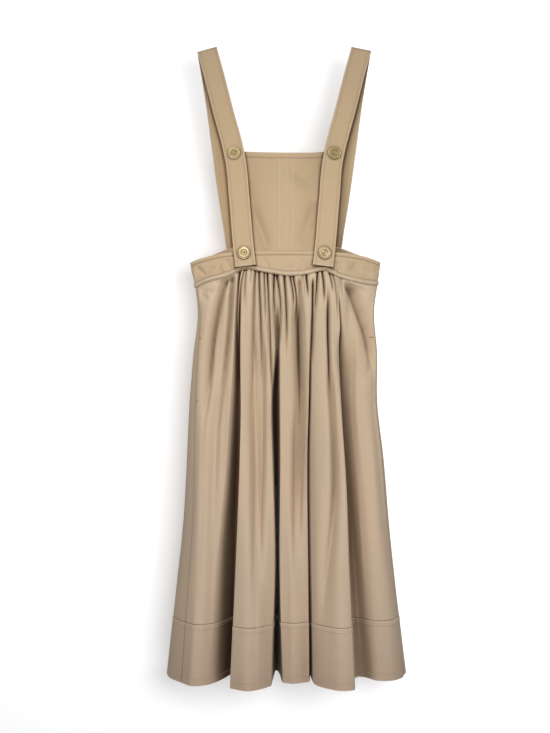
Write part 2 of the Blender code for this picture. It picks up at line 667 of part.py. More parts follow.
def button(name, side, place, brass):
    """A turned brass button that lies on its strap."""
    def on_strap(height, aside):
        return front_strap_point(side, height, aside)

    up = on_strap(place.height + BUTTON_SEAT, 0) - on_strap(place.height - BUTTON_SEAT, 0)
    across = on_strap(place.height, BUTTON_SEAT) - on_strap(place.height, -BUTTON_SEAT)
    face = up.cross(across).normalized() * -side
    centre = on_strap(place.height, 0) + face * (STRAP_CLOTH / 2 + BUTTON_CLEAR)
    right = across.normalized()
    top = face.cross(right)
    points = []
    for turn in BUTTON_OUTLINE:
        for i in range(BUTTON_SIDES):
            angle = 2 * math.pi * i / BUTTON_SIDES
            spoke = right * math.cos(angle) + top * math.sin(angle)
            points.append(centre + spoke * turn.radius + face * turn.rise)
    faces = []
    for level in range(len(BUTTON_OUTLINE) - 1):
        for i in range(BUTTON_SIDES):
            a = level * BUTTON_SIDES + i
            b = level * BUTTON_SIDES + (i + 1) % BUTTON_SIDES
            faces.append((a, b, b + BUTTON_SIDES, a + BUTTON_SIDES))
    faces.append(tuple(reversed(range(BUTTON_SIDES))))
    points.append(centre + face * BUTTON_MIDDLE)
    rim = (len(BUTTON_OUTLINE) - 1) * BUTTON_SIDES
    middle = len(points) - 1
    faces += [(rim + i, rim + (i + 1) % BUTTON_SIDES, middle) for i in range(BUTTON_SIDES)]
    return piece(name, points, faces, brass)


def main():
    for thing in list(bpy.data.objects):
        bpy.data.objects.remove(thing, do_unlink=True)
    cloth = material("twill", CLOTH_COLOUR, 0.72, 0.0)
    brass = material("brass", BRASS_COLOUR, 0.32, 1.0)
    for label, panel, gathers, first_turn in (
            ("front", FRONT_PANEL, FRONT_GATHERS, 180.0),
            ("back", BACK_PANEL, BACK_GATHERS, 0.0)):
        skirt_panel("skirt_" + label, panel, gathers, cloth)
        hem_panel("hem_band_" + label, panel, gathers, cloth)
        waistband("waistband_" + label, first_turn, cloth)
    for label, side in (("left", -1), ("right", 1)):
        bib_half("bib_" + label, side, cloth)
        strap("strap_" + label, side, cloth)
        for place in BUTTONS:
            button(f"button_{place.name}_{label}", side, place, brass)


main()
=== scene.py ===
"""The cloth, stitching, buttons and stage of a hanging pinafore dress.

Everything lies in the frame of the solids: the origin on the shoulder line, -Y to the front,
+Z up and +X to the right as seen from the front. Sizes are in metres. A place on the skirt is
a gather number round the ring and a share of the fall from the waist seam to the hem.
"""

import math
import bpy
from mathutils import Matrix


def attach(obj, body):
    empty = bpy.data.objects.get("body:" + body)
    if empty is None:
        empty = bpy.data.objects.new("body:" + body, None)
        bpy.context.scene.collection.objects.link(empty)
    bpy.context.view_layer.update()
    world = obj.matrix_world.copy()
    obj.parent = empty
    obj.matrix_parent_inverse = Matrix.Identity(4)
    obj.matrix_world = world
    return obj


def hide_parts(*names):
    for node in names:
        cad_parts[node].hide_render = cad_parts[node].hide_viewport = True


bl_info = {
    "name": "Pinafore Dress",
    "version": (1, 0, 0),
    "blender": (4, 5, 0),
    "location": "3D View > Sidebar > Pinafore",
    "description": "Makes a pinafore dress of cotton twill with its stitching and buttons",
    "category": "Add Mesh",
}

from collections import namedtuple

import bpy
import numpy as np
from mathutils import Vector

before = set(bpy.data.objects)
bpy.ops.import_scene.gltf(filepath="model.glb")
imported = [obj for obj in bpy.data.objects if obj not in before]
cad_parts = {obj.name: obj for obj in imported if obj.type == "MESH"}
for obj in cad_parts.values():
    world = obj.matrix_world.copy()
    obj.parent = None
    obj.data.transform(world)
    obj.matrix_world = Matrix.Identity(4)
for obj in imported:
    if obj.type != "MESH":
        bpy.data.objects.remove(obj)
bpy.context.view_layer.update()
MM = 0.001                 # a millimetre


def table(columns, *rows, defaults=()):
    """Rows with named columns, the last of which may have defaults."""
    row = namedtuple("Row", columns, defaults=defaults)
    return [row(*values) for values in rows]


# Gaps and heights of the solids
SEAM_GAP = 0.0003
HEM_HEIGHT = -1.200
HEM_BAND = 0.112
SEAM_MEAN = -0.437
DROP = SEAM_MEAN - HEM_HEIGHT
HEM_FALL = 1 - HEM_BAND / DROP
BIB_TOP = -0.196
BIB_SAG = 0.004
BIB_HEM = 0.010
BIB_CENTRE = -0.0020
BIB_TOP_HALF = 0.1030
BIB_FOOT_HALF = 0.0870
BIB_TOP_DEPTH = 0.0165
BIB_CROWN = 0.0060

# The waist: a flattened ring with sharp sides
WAIST_TOP, WAIST_SEAM = table("centre half_width", (-0.0033, 0.1819), (-0.0010, 0.1737))
FRONT_DEPTH = 0.042
BACK_DEPTH = 0.036
WAIST_SHARPNESS = 1.35
BAND_STEP = 5.0

STRAP_CENTRE = -0.0055
STRAP_HALF = 0.0195
STRAP_CLOTH = 0.0026
STRAP_FOLD_RADIUS = 0.0055
FOLD_CENTRE = -(STRAP_FOLD_RADIUS - STRAP_CLOTH / 2)
STRAP_CLEAR = 0.0030
STRAP_END_LIFT = 0.0030
STRAP_END_LIFT_RUN = 0.016
STRAP_END_TILT = 0.25      # how much less of that lift its outer edge has
STRAP_SETTLE = 0.045       # height over which a strap's back end meets the waistband
BUTTON_CLEAR = 0.0004
BUTTON_SEAT = 0.008

# The ring. gather: place on the ring; turn: angle round the waist in degrees; across, depth:
# place at the hem; full: depth there without the pleats; start, power: share of the fall where
# the fold begins and how early it deepens, where they aren't 0 and 0.9
RING_GATHERS = 74.0
RING = table(
    "gather turn across depth full start power",
    (-6, 172, -0.1995, -0.057, -0.057, 0, 0.8),  # left seam
    (-4, 155, -0.171, -0.083, -0.083, 0, 0.8),  # fold A crest
    (-2, 140, -0.14, -0.056, -0.072, 0, 0.8),
    (0.75, 123.7, -0.114, -0.008, -0.074, 0, 0.7),
    (1.75, 119.8, -0.108, 0.01, -0.078, 0, 0.65),  # valley one
    (2.5, 117.4, -0.107, 0.014, -0.084, 0, 0.75),
    (3.25, 115.1, -0.103, 0.002, -0.092, 0, 0.8),
    (4.5, 111.3, -0.08, -0.119, -0.118),  # fold B crest
    (6, 107, -0.057, -0.098, -0.112),
    (7.5, 103, -0.0385, -0.064, -0.094, 0, 0.8),
    (8.25, 101, -0.03, -0.036, -0.084, 0.03, 0.7),
    (9, 98.9, -0.0255, 0.022, -0.08, 0.03, 0.6),
    (9.75, 96.8, -0.0195, 0.04, -0.074, 0.03, 0.55),  # middle gap
    (10.5, 94.7, -0.0135, 0.01, -0.06, 0.03, 0.6),
    (11.25, 92.5, -0.0095, -0.03, -0.056, 0.03, 0.7),
    (12.25, 89.6, 0, -0.048, -0.06, 0, 0.85),
    (13.5, 86, 0.013, -0.06, -0.064),  # fold C crest
    (14.75, 82.3, 0.03, -0.05, -0.056, 0, 0.85),
    (16, 78.7, 0.04, -0.008, -0.052, 0.06, 0.75),
    (16.75, 76.5, 0.0438, 0.014, -0.058, 0.08, 0.8),  # valley three
    (17.45, 74.2, 0.047, -0.016, -0.066, 0.06, 0.75),
    (18.1, 72, 0.0545, -0.062, -0.08, 0, 0.85),
    (19, 68.9, 0.074, -0.097, -0.101),  # fold D crest
    (19.75, 66.4, 0.097, -0.117, -0.117),
    (20.5, 63.8, 0.118, -0.106, -0.112),
    (21.1, 61.8, 0.1265, -0.03, -0.098, 0, 0.8),
    (21.75, 59.5, 0.131, -0.02, -0.08, 0, 0.5),  # valley five
    (23.25, 53.8, 0.145, -0.018, -0.018, 0, 0.7),
    (26.5, 37, 0.175, -0.045, -0.045, 0, 0.8),  # fold E crest
    (29, 20, 0.206, -0.036, -0.036, 0, 0.8),
    (31, 5, 0.224, -0.004, -0.004),  # right seam
    (32, -4, 0.23, 0.024, 0.024),  # right edge
    (33.5, -21, 0.217, 0.06, 0.06),  # right round
    (35.25, -38, 0.195, 0.074, 0.074),  # right back crest
    (37.75, -52.5, 0.171, 0.042, 0.064, 0.05),  # back valley one
    (39.25, -57.2, 0.156, 0.078, 0.08),
    (40.75, -62, 0.134, 0.094, 0.094),  # back fold one
    (42.25, -66.8, 0.11, 0.076, 0.08),
    (43.75, -71.6, 0.094, 0.037, 0.062, 0.05),  # back valley two
    (45.25, -76.4, 0.078, 0.076, 0.08),
    (46.75, -81.2, 0.054, 0.094, 0.094),  # back fold two
    (48.25, -86, 0.029, 0.078, 0.08),
    (49.75, -90.8, 0.013, 0.041, 0.064, 0.05),  # back valley three
    (51.25, -95.6, -0.001, 0.08, 0.082),
    (52.75, -100.4, -0.024, 0.097, 0.097),  # back fold three
    (54.25, -105.2, -0.05, 0.077, 0.08),
    (55.75, -110, -0.067, 0.036, 0.062, 0.05),  # back valley four
    (57.25, -114.8, -0.084, 0.075, 0.079),
    (58.75, -119.6, -0.11, 0.092, 0.092),  # back fold four
    (60.25, -124.4, -0.137, 0.078, 0.08),
    (61.75, -129.5, -0.158, 0.046, 0.066, 0.05),  # back valley five
    (64, -146, -0.19, 0.072, 0.072),  # left back crest
    (65.5, -163, -0.216, 0.058, 0.058),  # left round
    (66.5, -176, -0.231, 0.026, 0.026),  # left edge
    (67.25, -183, -0.223, -0.018, -0.018, 0, 0.85),  # left wrap
    defaults=(0, 0.9))

# Soft troughs down the folds. top_gather, foot_gather: where each runs; width: in gathers;
# depth: at its deepest; top, foot: the shares of the fall between which it shows
TROUGHS = table(
    "top_gather foot_gather width depth top foot",
    (-1.5, -3, 0.9, 0.007, 0.03, 0.75),
    (-3, -5, 0.8, 0.005, 0.06, 0.5),
    (3.6, 7.2, 0.9, 0.009, 0.1, 0.9),
    (20.7, 18.5, 0.8, 0.009, 0.3, 0.92),
    (35.8, 34.5, 0.8, 0.006, 0.05, 0.6),
    (41, 42, 0.9, 0.008, 0.1, 0.85),
    (46.5, 45.5, 0.8, 0.007, 0.06, 0.6),
    (53, 54, 0.9, 0.009, 0.12, 0.9),
    (58.5, 57.5, 0.8, 0.007, 0.05, 0.7),
    (63.5, 64.5, 0.9, 0.006, 0.06, 0.55),
)
TROUGH_OPENS = 0.25
TROUGH_FADES = 0.45

# Deep pleats between the folds, where the cloth drops from "full" to "depth". left, right:
# the gathers of both edges at the falls below; left_walls, right_walls: how far across each
# wall slants, at the top and at the foot; share: how far down it drops; top, opens: where it
# begins and the share of the fall over which it deepens
PLEAT_FALLS = (0.10, 0.20, 0.32, 0.45, 0.70, 1.00)
PLEAT = "left right left_walls right_walls share top opens"
FRONT_PLEATS = table(
    PLEAT,
    ((1.2, 0.95, 0.6, 0.15, -1.6, -2.8), (2.6, 3, 3.48, 3.63, 3.68, 3.62), (0.006, 0.03),
     (0.003, 0.0032), 1, 0, 0.1),
    ((9.45, 9.42, 8.5, 8.95, 9.55, 8.5), (10.9, 10.89, 10.92, 10.95, 10.8, 11.6),
     (0.004, 0.005), (0.0045, 0.0055), 1, 0.09, 0.17),
    ((17.23, 16.75, 16.3, 15.92, 15.8, 15.72), (17.87, 17.61, 17.34, 17.02, 16.86, 17.42),
     (0.003, 0.0045), (0.0034, 0.003), 0.84, 0, 0.1),
    ((22, 21.3, 21.08, 21.02, 20.7, 20.6), (25.5, 26, 26.3, 26.6, 26.9, 26.9), (0.0026, 0.004),
     (0.01, 0.016), 1, 0.07, 0.14),
)
BACK_PLEATS = table(
    PLEAT,
    ((37.2, 37.1, 37, 37, 36.9, 36.8), (38.3, 38.4, 38.4, 38.5, 38.6, 38.7), (0.005, 0.006),
     (0.005, 0.005), 0.9, 0.04, 0.14),
    ((43.3, 43.2, 43.2, 43.1, 43.1, 43), (44.2, 44.3, 44.4, 44.5, 44.5, 44.6), (0.004, 0.005),
     (0.005, 0.004), 0.9, 0.05, 0.14),
    ((49.4, 49.3, 49.2, 49.1, 49, 49), (50.2, 50.3, 50.3, 50.4, 50.5, 50.6), (0.004, 0.004),
     (0.005, 0.006), 0.9, 0.04, 0.12),
    ((55.3, 55.2, 55.1, 55.1, 55, 55), (56.2, 56.3, 56.4, 56.4, 56.5, 56.6), (0.005, 0.006),
     (0.004, 0.004), 0.9, 0.06, 0.14),
    ((61.3, 61.2, 61.1, 61.1, 61, 60.9), (62.3, 62.4, 62.4, 62.5, 62.6, 62.7), (0.005, 0.005),
     (0.006, 0.008), 0.9, 0.05, 0.14),
)

# The skirt's outline. fall: share of the way from waist seam to hem; left, right: its edges
OUTLINE = table(
    "fall left right",
    (0, -0.1747, 0.1728), (0.06, -0.1709, 0.1671), (0.18, -0.1788, 0.1731),
    (0.31, -0.1867, 0.1735), (0.45, -0.1922, 0.185), (0.62, -0.1998, 0.196),
    (0.8, -0.214, 0.212), (1, -0.231, 0.23),
)
SPREAD_POWER = 0.80
OUTLINE_FROM = 0.50
OUTLINE_TO = 0.95
SEAM_POWER = 3

# The waistband's edges, round the body. seam: its lower edge, pulled up under the buttons
EDGES = table(
    "turn top seam",
    (180, -0.408, -0.4555), (170, -0.407, -0.4553), (150, -0.4, -0.446),
    (128, -0.3915, -0.4345), (117, -0.39, -0.4225), (104, -0.3893, -0.4285),
    (88, -0.389, -0.4357), (75, -0.3893, -0.4315), (66, -0.39, -0.425),
    (56, -0.391, -0.4375), (40, -0.3955, -0.447), (10, -0.406, -0.4513),
    (0, -0.407, -0.4515), (-10, -0.406, -0.4513), (-35, -0.394, -0.4395),
    (-58, -0.375, -0.4205), (-90, -0.3735, -0.419), (-122, -0.375, -0.4205),
    (-145, -0.395, -0.4405), (-170, -0.407, -0.4553),
)

# The strap's middle line. out: distance from the straps' mirror line; lean: degrees
STRAP = "height out lean"
STRAP_FRONT = table(
    STRAP,
    (-0.417, 0.073, 6.5), (-0.388, 0.0765, 5.5), (-0.292, 0.085, 5.5),
    (-0.215, 0.0925, 9), (-0.19, 0.0975, 14), (-0.122, 0.1157, 15),
    (-0.048, 0.1346, 15.5), (0, 0.1478, 16),
)
STRAP_BACK = table(
    STRAP,
    (0, 0.1478, 13), (-0.05, 0.139, 9.5), (-0.116, 0.129, 8.5),
    (-0.189, 0.1195, 8), (-0.284, 0.1065, 8.5), (-0.378, 0.0908, 9),
)
STRAP_END = STRAP_FRONT[0].height
STRAP_BACK_FOOT = STRAP_BACK[-1].height
BUTTONS = table("name height", ("upper", -0.2005), ("lower", -0.3920))

# Creases that the gathers press into the skirt. top, middle, foot: shares of the fall;
# at_top, at_middle, at_foot: the gathers where it runs; left, right: how wide each of its
# flanks is; soft: how rounded its floor is; opens, fades: shares of the fall over which it
# deepens and dies away, where opens 0 starts it in the waist seam
CREASE = "middle foot at_top at_middle at_foot left right depth fades top soft opens"
IN_THE_SEAM = (0, 0.4, 0)
FRONT_CREASES = table(
    CREASE,
    (0.06, 0.38, -0.75, -2.3, -4.4, 0.0042, 0.0056, 0.027, 0.2, 0, 0.6, 0.01),
    (0.11, 0.42, -0.05, -0.25, -2.4, 0.0026, 0.0046, 0.021, 0.28, 0, 0.5, 0.01),
    (0.07, 0.3, 1.5, 1.36, 2.05, 0.002, 0.0016, 0.018, 0.08),
    (0.055, 0.21, 2.45, 1.98, 2.15, 0.0014, 0.0014, 0.008, 0.09),
    (0.04, 0.11, 2.95, 3.1, 3.35, 0.0016, 0.0016, 0.007, 0.06),
    (0.02, 0.055, 4.05, 4.15, 4.22, 0.0013, 0.0013, 0.0045, 0.03),
    (0.1, 0.45, 4.9, 4.8, 4.4, 0.0018, 0.0026, 0.0115, 0.32),
    (0.33, 0.86, 4.95, 5.05, 5.6, 0.0034, 0.0125, 0.019, 0.42, 0.12, 1, 0.12),
    (0.07, 0.34, 5.75, 6.12, 6.5, 0.0018, 0.0022, 0.0125, 0.25),
    (0.05, 0.14, 7, 7.25, 7.5, 0.0016, 0.0015, 0.0095, 0.07),
    (0.4, 0.8, 6.7, 6.62, 6.2, 0.022, 0.0044, 0.018, 0.4, 0.12, 0.9, 0.14),
    (0.11, 0.33, 7.8, 8.3, 9.1, 0.002, 0.0016, 0.0135, 0.06),
    (0.04, 0.12, 9.35, 9.33, 9.55, 0.0022, 0.0018, 0.0145, 0.05),
    (0.012, 0.032, 9.85, 9.92, 9.98, 0.0011, 0.0011, 0.005, 0.02),
    (0.11, 0.2, 10.1, 10.15, 10.2, 0.0056, 0.0026, 0.03, 0.08, 0.06, 0.8, 0.05),
    (0.065, 0.2, 10.08, 10.8, 10.05, 0.0018, 0.0016, 0.013, 0.05),
    (0.06, 0.23, 11.58, 11.97, 12.3, 0.0018, 0.0018, 0.0125, 0.14),
    (0.035, 0.09, 12.85, 13.4, 13.7, 0.0014, 0.0014, 0.011, 0.04),
    (0.05, 0.13, 13.5, 14.15, 14, 0.0015, 0.0015, 0.013, 0.05),
    (0.09, 0.42, 15, 14.82, 14.85, 0.0036, 0.0028, 0.019, 0.26, 0, 0.9, 0.02),
    (0.48, 0.86, 14, 13.8, 13.6, 0.003, 0.015, 0.014, 0.4, 0.3, 1, 0.14),
    (0.32, 0.74, 14.35, 15.05, 13.9, 0.009, 0.0034, 0.023, 0.3, 0.05, 0.8, 0.07),
    (0.02, 0.06, 15.55, 15.7, 15.8, 0.0013, 0.0013, 0.0045, 0.03),
    (0.03, 0.07, 16.35, 16.55, 16.7, 0.0014, 0.0014, 0.013, 0.05),
    (0.1, 0.23, 17.7, 17.7, 17.45, 0.0018, 0.0014, 0.019, 0.08, 0.004, 0.4, 0.03),
    (0.05, 0.115, 18.6, 18.3, 17.95, 0.0014, 0.0014, 0.015, 0.05),
    (0.03, 0.09, 19.5, 19.62, 19.55, 0.0014, 0.0014, 0.0125, 0.05),
    (0.12, 0.34, 20.45, 20.04, 19.88, 0.002, 0.0018, 0.02, 0.16, 0.01, 0.4, 0.11),
    (0.45, 0.9, 19.95, 20.15, 18.4, 0.004, 0.0044, 0.023, 0.4, 0.2, 0.9, 0.1),
    (0.02, 0.055, 21.05, 21.08, 21.1, 0.0013, 0.0013, 0.011, 0.03),
    (0.05, 0.14, 21.7, 21.73, 21.6, 0.0015, 0.0015, 0.0105, 0.08),
    (0.09, 0.23, 22.3, 22.36, 22.1, 0.0018, 0.0018, 0.013, 0.09, 0.01, 0.4, 0.08),
    (0.02, 0.05, 23.3, 23.4, 23.5, 0.0014, 0.0014, 0.004, 0.03),
    (0.32, 1.25, 21.75, 21.75, 22.6, 0.0024, 0.021, 0.039, 0.95, 0.12, 0.7, 0.12),
    (0.096, 0.255, 24.3, 28.3, 30.8, 0.0055, 0.0095, 0.038, 0.16, 0.002, 0.8, 0.02),
    (0.015, 0.036, 25.6, 27.2, 30.4, 0.0022, 0.003, 0.003, 0.012, 0.004, 0.6, 0.006),
    defaults=IN_THE_SEAM)
BACK_CREASES = table(
    CREASE,
    (0.09, 0.38, 36.6, 35.4, 33.6, 0.0044, 0.0053, 0.0101, 0.2, 0.004, 0.8, 0.03),
    (0.12, 0.36, 37.6, 37.8, 37.7, 0.0023, 0.0018, 0.013, 0.14),
    (0.03, 0.09, 38.35, 38.4, 38.55, 0.0013, 0.0015, 0.0068, 0.05),
    (0.06, 0.2, 39.4, 39.6, 39.8, 0.0018, 0.0014, 0.0095, 0.12),
    (0.02, 0.06, 40.1, 40.15, 40.3, 0.0011, 0.0013, 0.0065, 0.04),
    (0.1, 0.33, 40.95, 41.2, 41.5, 0.0021, 0.0017, 0.0111, 0.22),
    (0.04, 0.11, 42.1, 42.1, 42.35, 0.0013, 0.0016, 0.008, 0.07),
    (0.025, 0.07, 42.85, 43, 43.1, 0.0014, 0.0011, 0.0066, 0.05),
    (0.13, 0.38, 43.6, 43.9, 43.75, 0.0019, 0.0022, 0.0137, 0.14),
    (0.05, 0.15, 44.9, 44.7, 44.6, 0.0017, 0.0013, 0.0087, 0.09),
    (0.02, 0.05, 45.55, 45.6, 45.6, 0.0011, 0.0013, 0.006, 0.03),
    (0.08, 0.26, 46.3, 46.2, 45.8, 0.002, 0.0016, 0.0114, 0.17),
    (0.035, 0.09, 47.45, 47.5, 47.6, 0.0013, 0.0015, 0.0073, 0.06),
    (0.05, 0.17, 48.3, 48.45, 48.7, 0.0018, 0.0014, 0.0092, 0.1),
    (0.02, 0.06, 49.05, 49.1, 49.3, 0.0011, 0.0013, 0.0065, 0.04),
    (0.14, 0.4, 49.85, 49.6, 49.75, 0.0023, 0.0018, 0.0141, 0.15),
    (0.04, 0.12, 50.9, 50.8, 50.55, 0.0013, 0.0016, 0.008, 0.07),
    (0.025, 0.065, 51.7, 51.7, 51.8, 0.0014, 0.0011, 0.0066, 0.04),
    (0.09, 0.3, 52.55, 52.8, 53.1, 0.0017, 0.002, 0.0111, 0.2),
    (0.03, 0.08, 53.6, 53.6, 53.5, 0.0015, 0.0012, 0.0073, 0.05),
    (0.05, 0.14, 54.5, 54.65, 54.9, 0.0014, 0.0016, 0.0085, 0.08),
    (0.13, 0.37, 55.6, 55.8, 55.75, 0.0023, 0.0018, 0.0133, 0.14),
    (0.03, 0.08, 56.55, 56.5, 56.4, 0.0012, 0.0014, 0.0071, 0.05),
    (0.07, 0.23, 57.4, 57.5, 57.3, 0.0019, 0.0015, 0.0104, 0.15),
    (0.02, 0.055, 58.25, 58.3, 58.3, 0.0011, 0.0013, 0.006, 0.03),
    (0.045, 0.13, 59.1, 59, 58.8, 0.0017, 0.0013, 0.0085, 0.08),
    (0.03, 0.08, 60.05, 60.1, 60.25, 0.0012, 0.0014, 0.0071, 0.05),
    (0.06, 0.18, 60.8, 60.95, 61.1, 0.0018, 0.0014, 0.0092, 0.11),
    (0.12, 0.36, 61.7, 61.8, 61.75, 0.0019, 0.0022, 0.0125, 0.14),
    (0.09, 0.4, 62.6, 63.6, 65.2, 0.0052, 0.0042, 0.0101, 0.2, 0.004, 0.8, 0.03),
    defaults=IN_THE_SEAM)
SEAM_SHARE = 0.95          # share of a crease's depth where the waist seam pinches it
SEAM_SWELL = 0.012         # share of the fall over which it reaches its full depth
SEAM_PINCH = 0.35          # how much deeper the creases are just under the seam
GATHER_BLOOM = 0.0070      # how far the gathers puff out just under the seam
BLOOM_FALL = 0.035
GATHERS_BEGIN = 1.5        # gathers over which they begin and end
SIDES_FLAT = 0.9           # gathers that stay free of creases beside a side seam

# Slight folds drawn straight across a piece. Each runs between two places, seen from the
# front; depth above 0 presses the cloth in and below 0 lifts it
MARK = "across height to_across to_height width depth"
SKIRT_MARKS = table(
    MARK,
    (-0.169, -0.4625, -0.134, -0.4645, 0.0012, 0.006),
    (-0.168, -0.4675, -0.149, -0.478, 0.0016, 0.0055),
    (0.1525, -0.5155, 0.1625, -0.5345, 0.0018, -0.0026),
    (0.137, -0.661, 0.169, -0.638, 0.004, -0.0027),
    (0.148, -0.629, 0.164, -0.606, 0.004, 0.0024),
)
BAND_MARKS = table(
    MARK,
    (-0.1745, -0.4165, -0.155, -0.4325, 0.0022, 0.0037),
    (-0.153, -0.4255, -0.136, -0.416, 0.002, 0.0026),
    (-0.115, -0.401, -0.106, -0.427, 0.0025, 0.0041),
    (-0.125, -0.41, -0.116, -0.429, 0.0025, -0.0029),
    (-0.056, -0.401, -0.058, -0.418, 0.0018, -0.0034),
    (-0.0475, -0.399, -0.0325, -0.4215, 0.0025, 0.0026),
    (-0.025, -0.407, -0.033, -0.419, 0.002, -0.0024),
    (0.012, -0.407, 0.0025, -0.422, 0.002, -0.0024),
    (0.0305, -0.411, 0.0195, -0.4245, 0.002, -0.0026),
    (0.0335, -0.403, 0.026, -0.425, 0.002, 0.0029),
    (0.0445, -0.402, 0.036, -0.4245, 0.0018, -0.0041),
    (0.094, -0.404, 0.1, -0.433, 0.002, 0.0044),
    (0.107, -0.405, 0.1165, -0.426, 0.003, -0.0029),
    (0.122, -0.41, 0.145, -0.431, 0.004, 0.0034),
    (0.141, -0.421, 0.169, -0.433, 0.003, 0.0026),
)
BIB_MARKS = table(
    MARK,
    (-0.07, -0.295, -0.032, -0.396, 0.0065, 0.0101),
    (-0.079, -0.245, -0.06, -0.32, 0.008, 0.0046),
    (-0.027, -0.381, -0.016, -0.39, 0.002, 0.0019),
    (0.058, -0.285, 0.025, -0.386, 0.008, 0.0095),
    (0.041, -0.34, 0.029, -0.388, 0.005, -0.0023),
    (0.068, -0.196, 0.012, -0.262, 0.015, 0.0095),
    (-0.035, -0.212, -0.01, -0.25, 0.008, -0.0023),
)
MARK_END = 0.28            # share of a mark's length over which each end dies away
MARK_SOFT = 0.9

# The halves of skirt, hem band and waistband. way: which way its gathers run; ends, gathers:
# gather numbers of its side seams and of its gathered stretch; first_turn: where its
# waistband begins
PANELS = table(
    "side way ends gathers creases pleats marks first_turn band_marks",
    ("front", 1, (-6, 31), (0, 25), FRONT_CREASES, FRONT_PLEATS, SKIRT_MARKS, 180, BAND_MARKS),
    ("back", -1, (31, 68), (37, 62), BACK_CREASES, BACK_PLEATS, (), 0, ()))
FRONT = PANELS[0]
SIDES = (("left", -1), ("right", 1))

# Slight unevenness. round, down: how often it repeats along and across a piece; start: where
# it begins; size: how far it stands out
WAVE = "round down start size"
DRIFT = table(
    WAVE, (22, 9, 0.4, 0.00055), (32, -7, 2.1, 0.0004), (10, 5, 4, 0.0006), (46, 14, 1.2, 0.00018))
PUCKER = table(WAVE, (84, 0, 0.3, 0.00022), (133, 0, 1.9, 0.00016), (200, 0, 0.8, 0.0001))
BAND_WAVES = table(WAVE, (0.21, 130, 0, 0.0005), (0.47, -90, 0, 0.0004))
BAND_PUCKER = table(WAVE, (2.3, 0, 0, 0.00014), (3.7, 0, 1, 0.0001))
BIB_WAVES = table(WAVE, (60, 25, 0, 0.0004))
BIB_PUCKER = table(WAVE, (700, 0, 0, 0.00018))
STRAP_WAVES = table(WAVE, (38, 40, 0.6, 0.0007), (71, -60, 2.4, 0.0004), (19, 30, 4.1, 0.0008))
STRAP_PUCKER = table(WAVE, (760, 1, 0, 0.00016), (1130, 0, 0, 0.00012))
SIDE_SHIFT = 1.3           # how much later the right strap's waves start, in radians
UNEVEN = 0.7               # how far the waves round the ring are out of step, in radians

# Where the unevenness starts, and the stretches over which it grows and dies away
DRIFT_GROWS = 0.15         # a share of the fall
HEM_SEAM_REACH = 0.010
HEM_FOOT_PLACE, HEM_FOOT_REACH = 0.008, 0.012
BAND_EDGE_RUN = 0.002
BAND_WAVES_FROM, BAND_WAVES_RUN, BAND_WAVES_END = 0.004, 0.010, 0.008
BAND_TOP_REACH, RIDGE_REACH = 0.003, 0.004
BIB_FOOT_RUN, BIB_TOP_RUN, BIB_HEM_REACH = 0.006, 0.03, 0.005
STRAP_WAVES_FROM, STRAP_WAVES_RUN, STRAP_WAVES_END = 0.03, 0.05, 0.08
STRAP_EDGE_REACH = 0.004

# Rounded edges, turned edges and what stands proud
EDGE_ROUND = 0.7           # share of a wall's thickness over which its edges are rounded
EDGE_THIN = 0.25           # share of the thickness that is left at the very edge
HEM_EDGE_RUN = 0.0006
HEM_PROUD_TO, HEM_PROUD_RUN = 0.0072, 0.0022
RIDGE_RUN = 0.0010
BIB_FOLD, BIB_FOLD_RUN = 0.0009, 0.0012
BIB_CENTRE_ROUND = 0.0008
STRAP_GROOVE = 1.4         # depths of a groove that a row takes off a strap's two faces
HEM_PROUD = 0.0005
RIDGE_PROUD = 0.0018

# Places of the stitching, from the edges that they follow
BAND_TOP_ROW = 0.0070
RIDGE_HEIGHT = 0.0078
RIDGE_ROWS = (0.0064, 0.0016)
HEM_TOP_ROWS = (0.0020, 0.0066)
HEM_FOOT_ROW = 0.0110
STRAP_ROW = 0.0050
BIB_ROW_ASIDE = 0.0120
BIB_CENTRE_ROW = 0.0006
BIB_ROW_LIFT = 0.0003      # keeps the rows beside the centre seam on top of their groove
POCKET_TACKS = (0.137, 0.300)
POCKET_GATHERS = (-5.72, 30.72)
TACK_THREADS = 4
TACK_STEP = 0.0007
TACK_REACH = (-0.10, 0.18)  # gathers to both sides of a pocket's edge
TACK_LIFT = 0.0002
TACK_PITCH, TACK_STITCH, TACK_WIDTH = 0.0008, 0.0012, 0.0006
GROOVE_WIDTH = 0.0009
GROOVE_DEPTH = 0.00055
ON_CLOTH = 0.00005         # how high a thread's middle lies above the cloth
ROW_GATHERS = 0.12         # between the points of a hem row's line
ROW_TURN = 0.7             # degrees between the points of a waistband row's line
ROW_STARTS = 0.003         # how far from a strap's ends its rows begin and end
ROW_ENDS = 0.002
BAND_STITCH = 0.8          # lengths and pitches as shares of those in the settings
HEM_BAND_PITCH, HEM_BAND_STITCH = 1.1, 1.15
HEM_PITCH = 1.2

# How much paler an edge is from wear, and the reach over which that fades from it
SIDE_WEAR = (0.20, 0.0012)
SEAM_WEAR = (0.35, 0.0040)
HEM_TOP_WEAR = (0.75, 0.0025)
HEM_FOOT_WEAR = (0.70, 0.0015)
BAND_TOP_WEAR = (0.70, 0.0012)
BAND_FOOT_WEAR = (0.75, 0.0014)
RIDGE_WEAR = 0.95
BIB_TOP_WEAR = (0.80, 0.0014)
BIB_CENTRE_WEAR = (0.08, 0.0010)
STRAP_SIDE_WEAR = (0.80, 0.0013)
STRAP_END_WEAR = (0.85, 0.0016)
CREST_PAINTED_HIGHLIGHT = 0.80          # painted highlight: how much paler the gathers' crests are painted below the waist seam, where light reaches them
CREST_PAINTED_HIGHLIGHT_RUN = 0.060
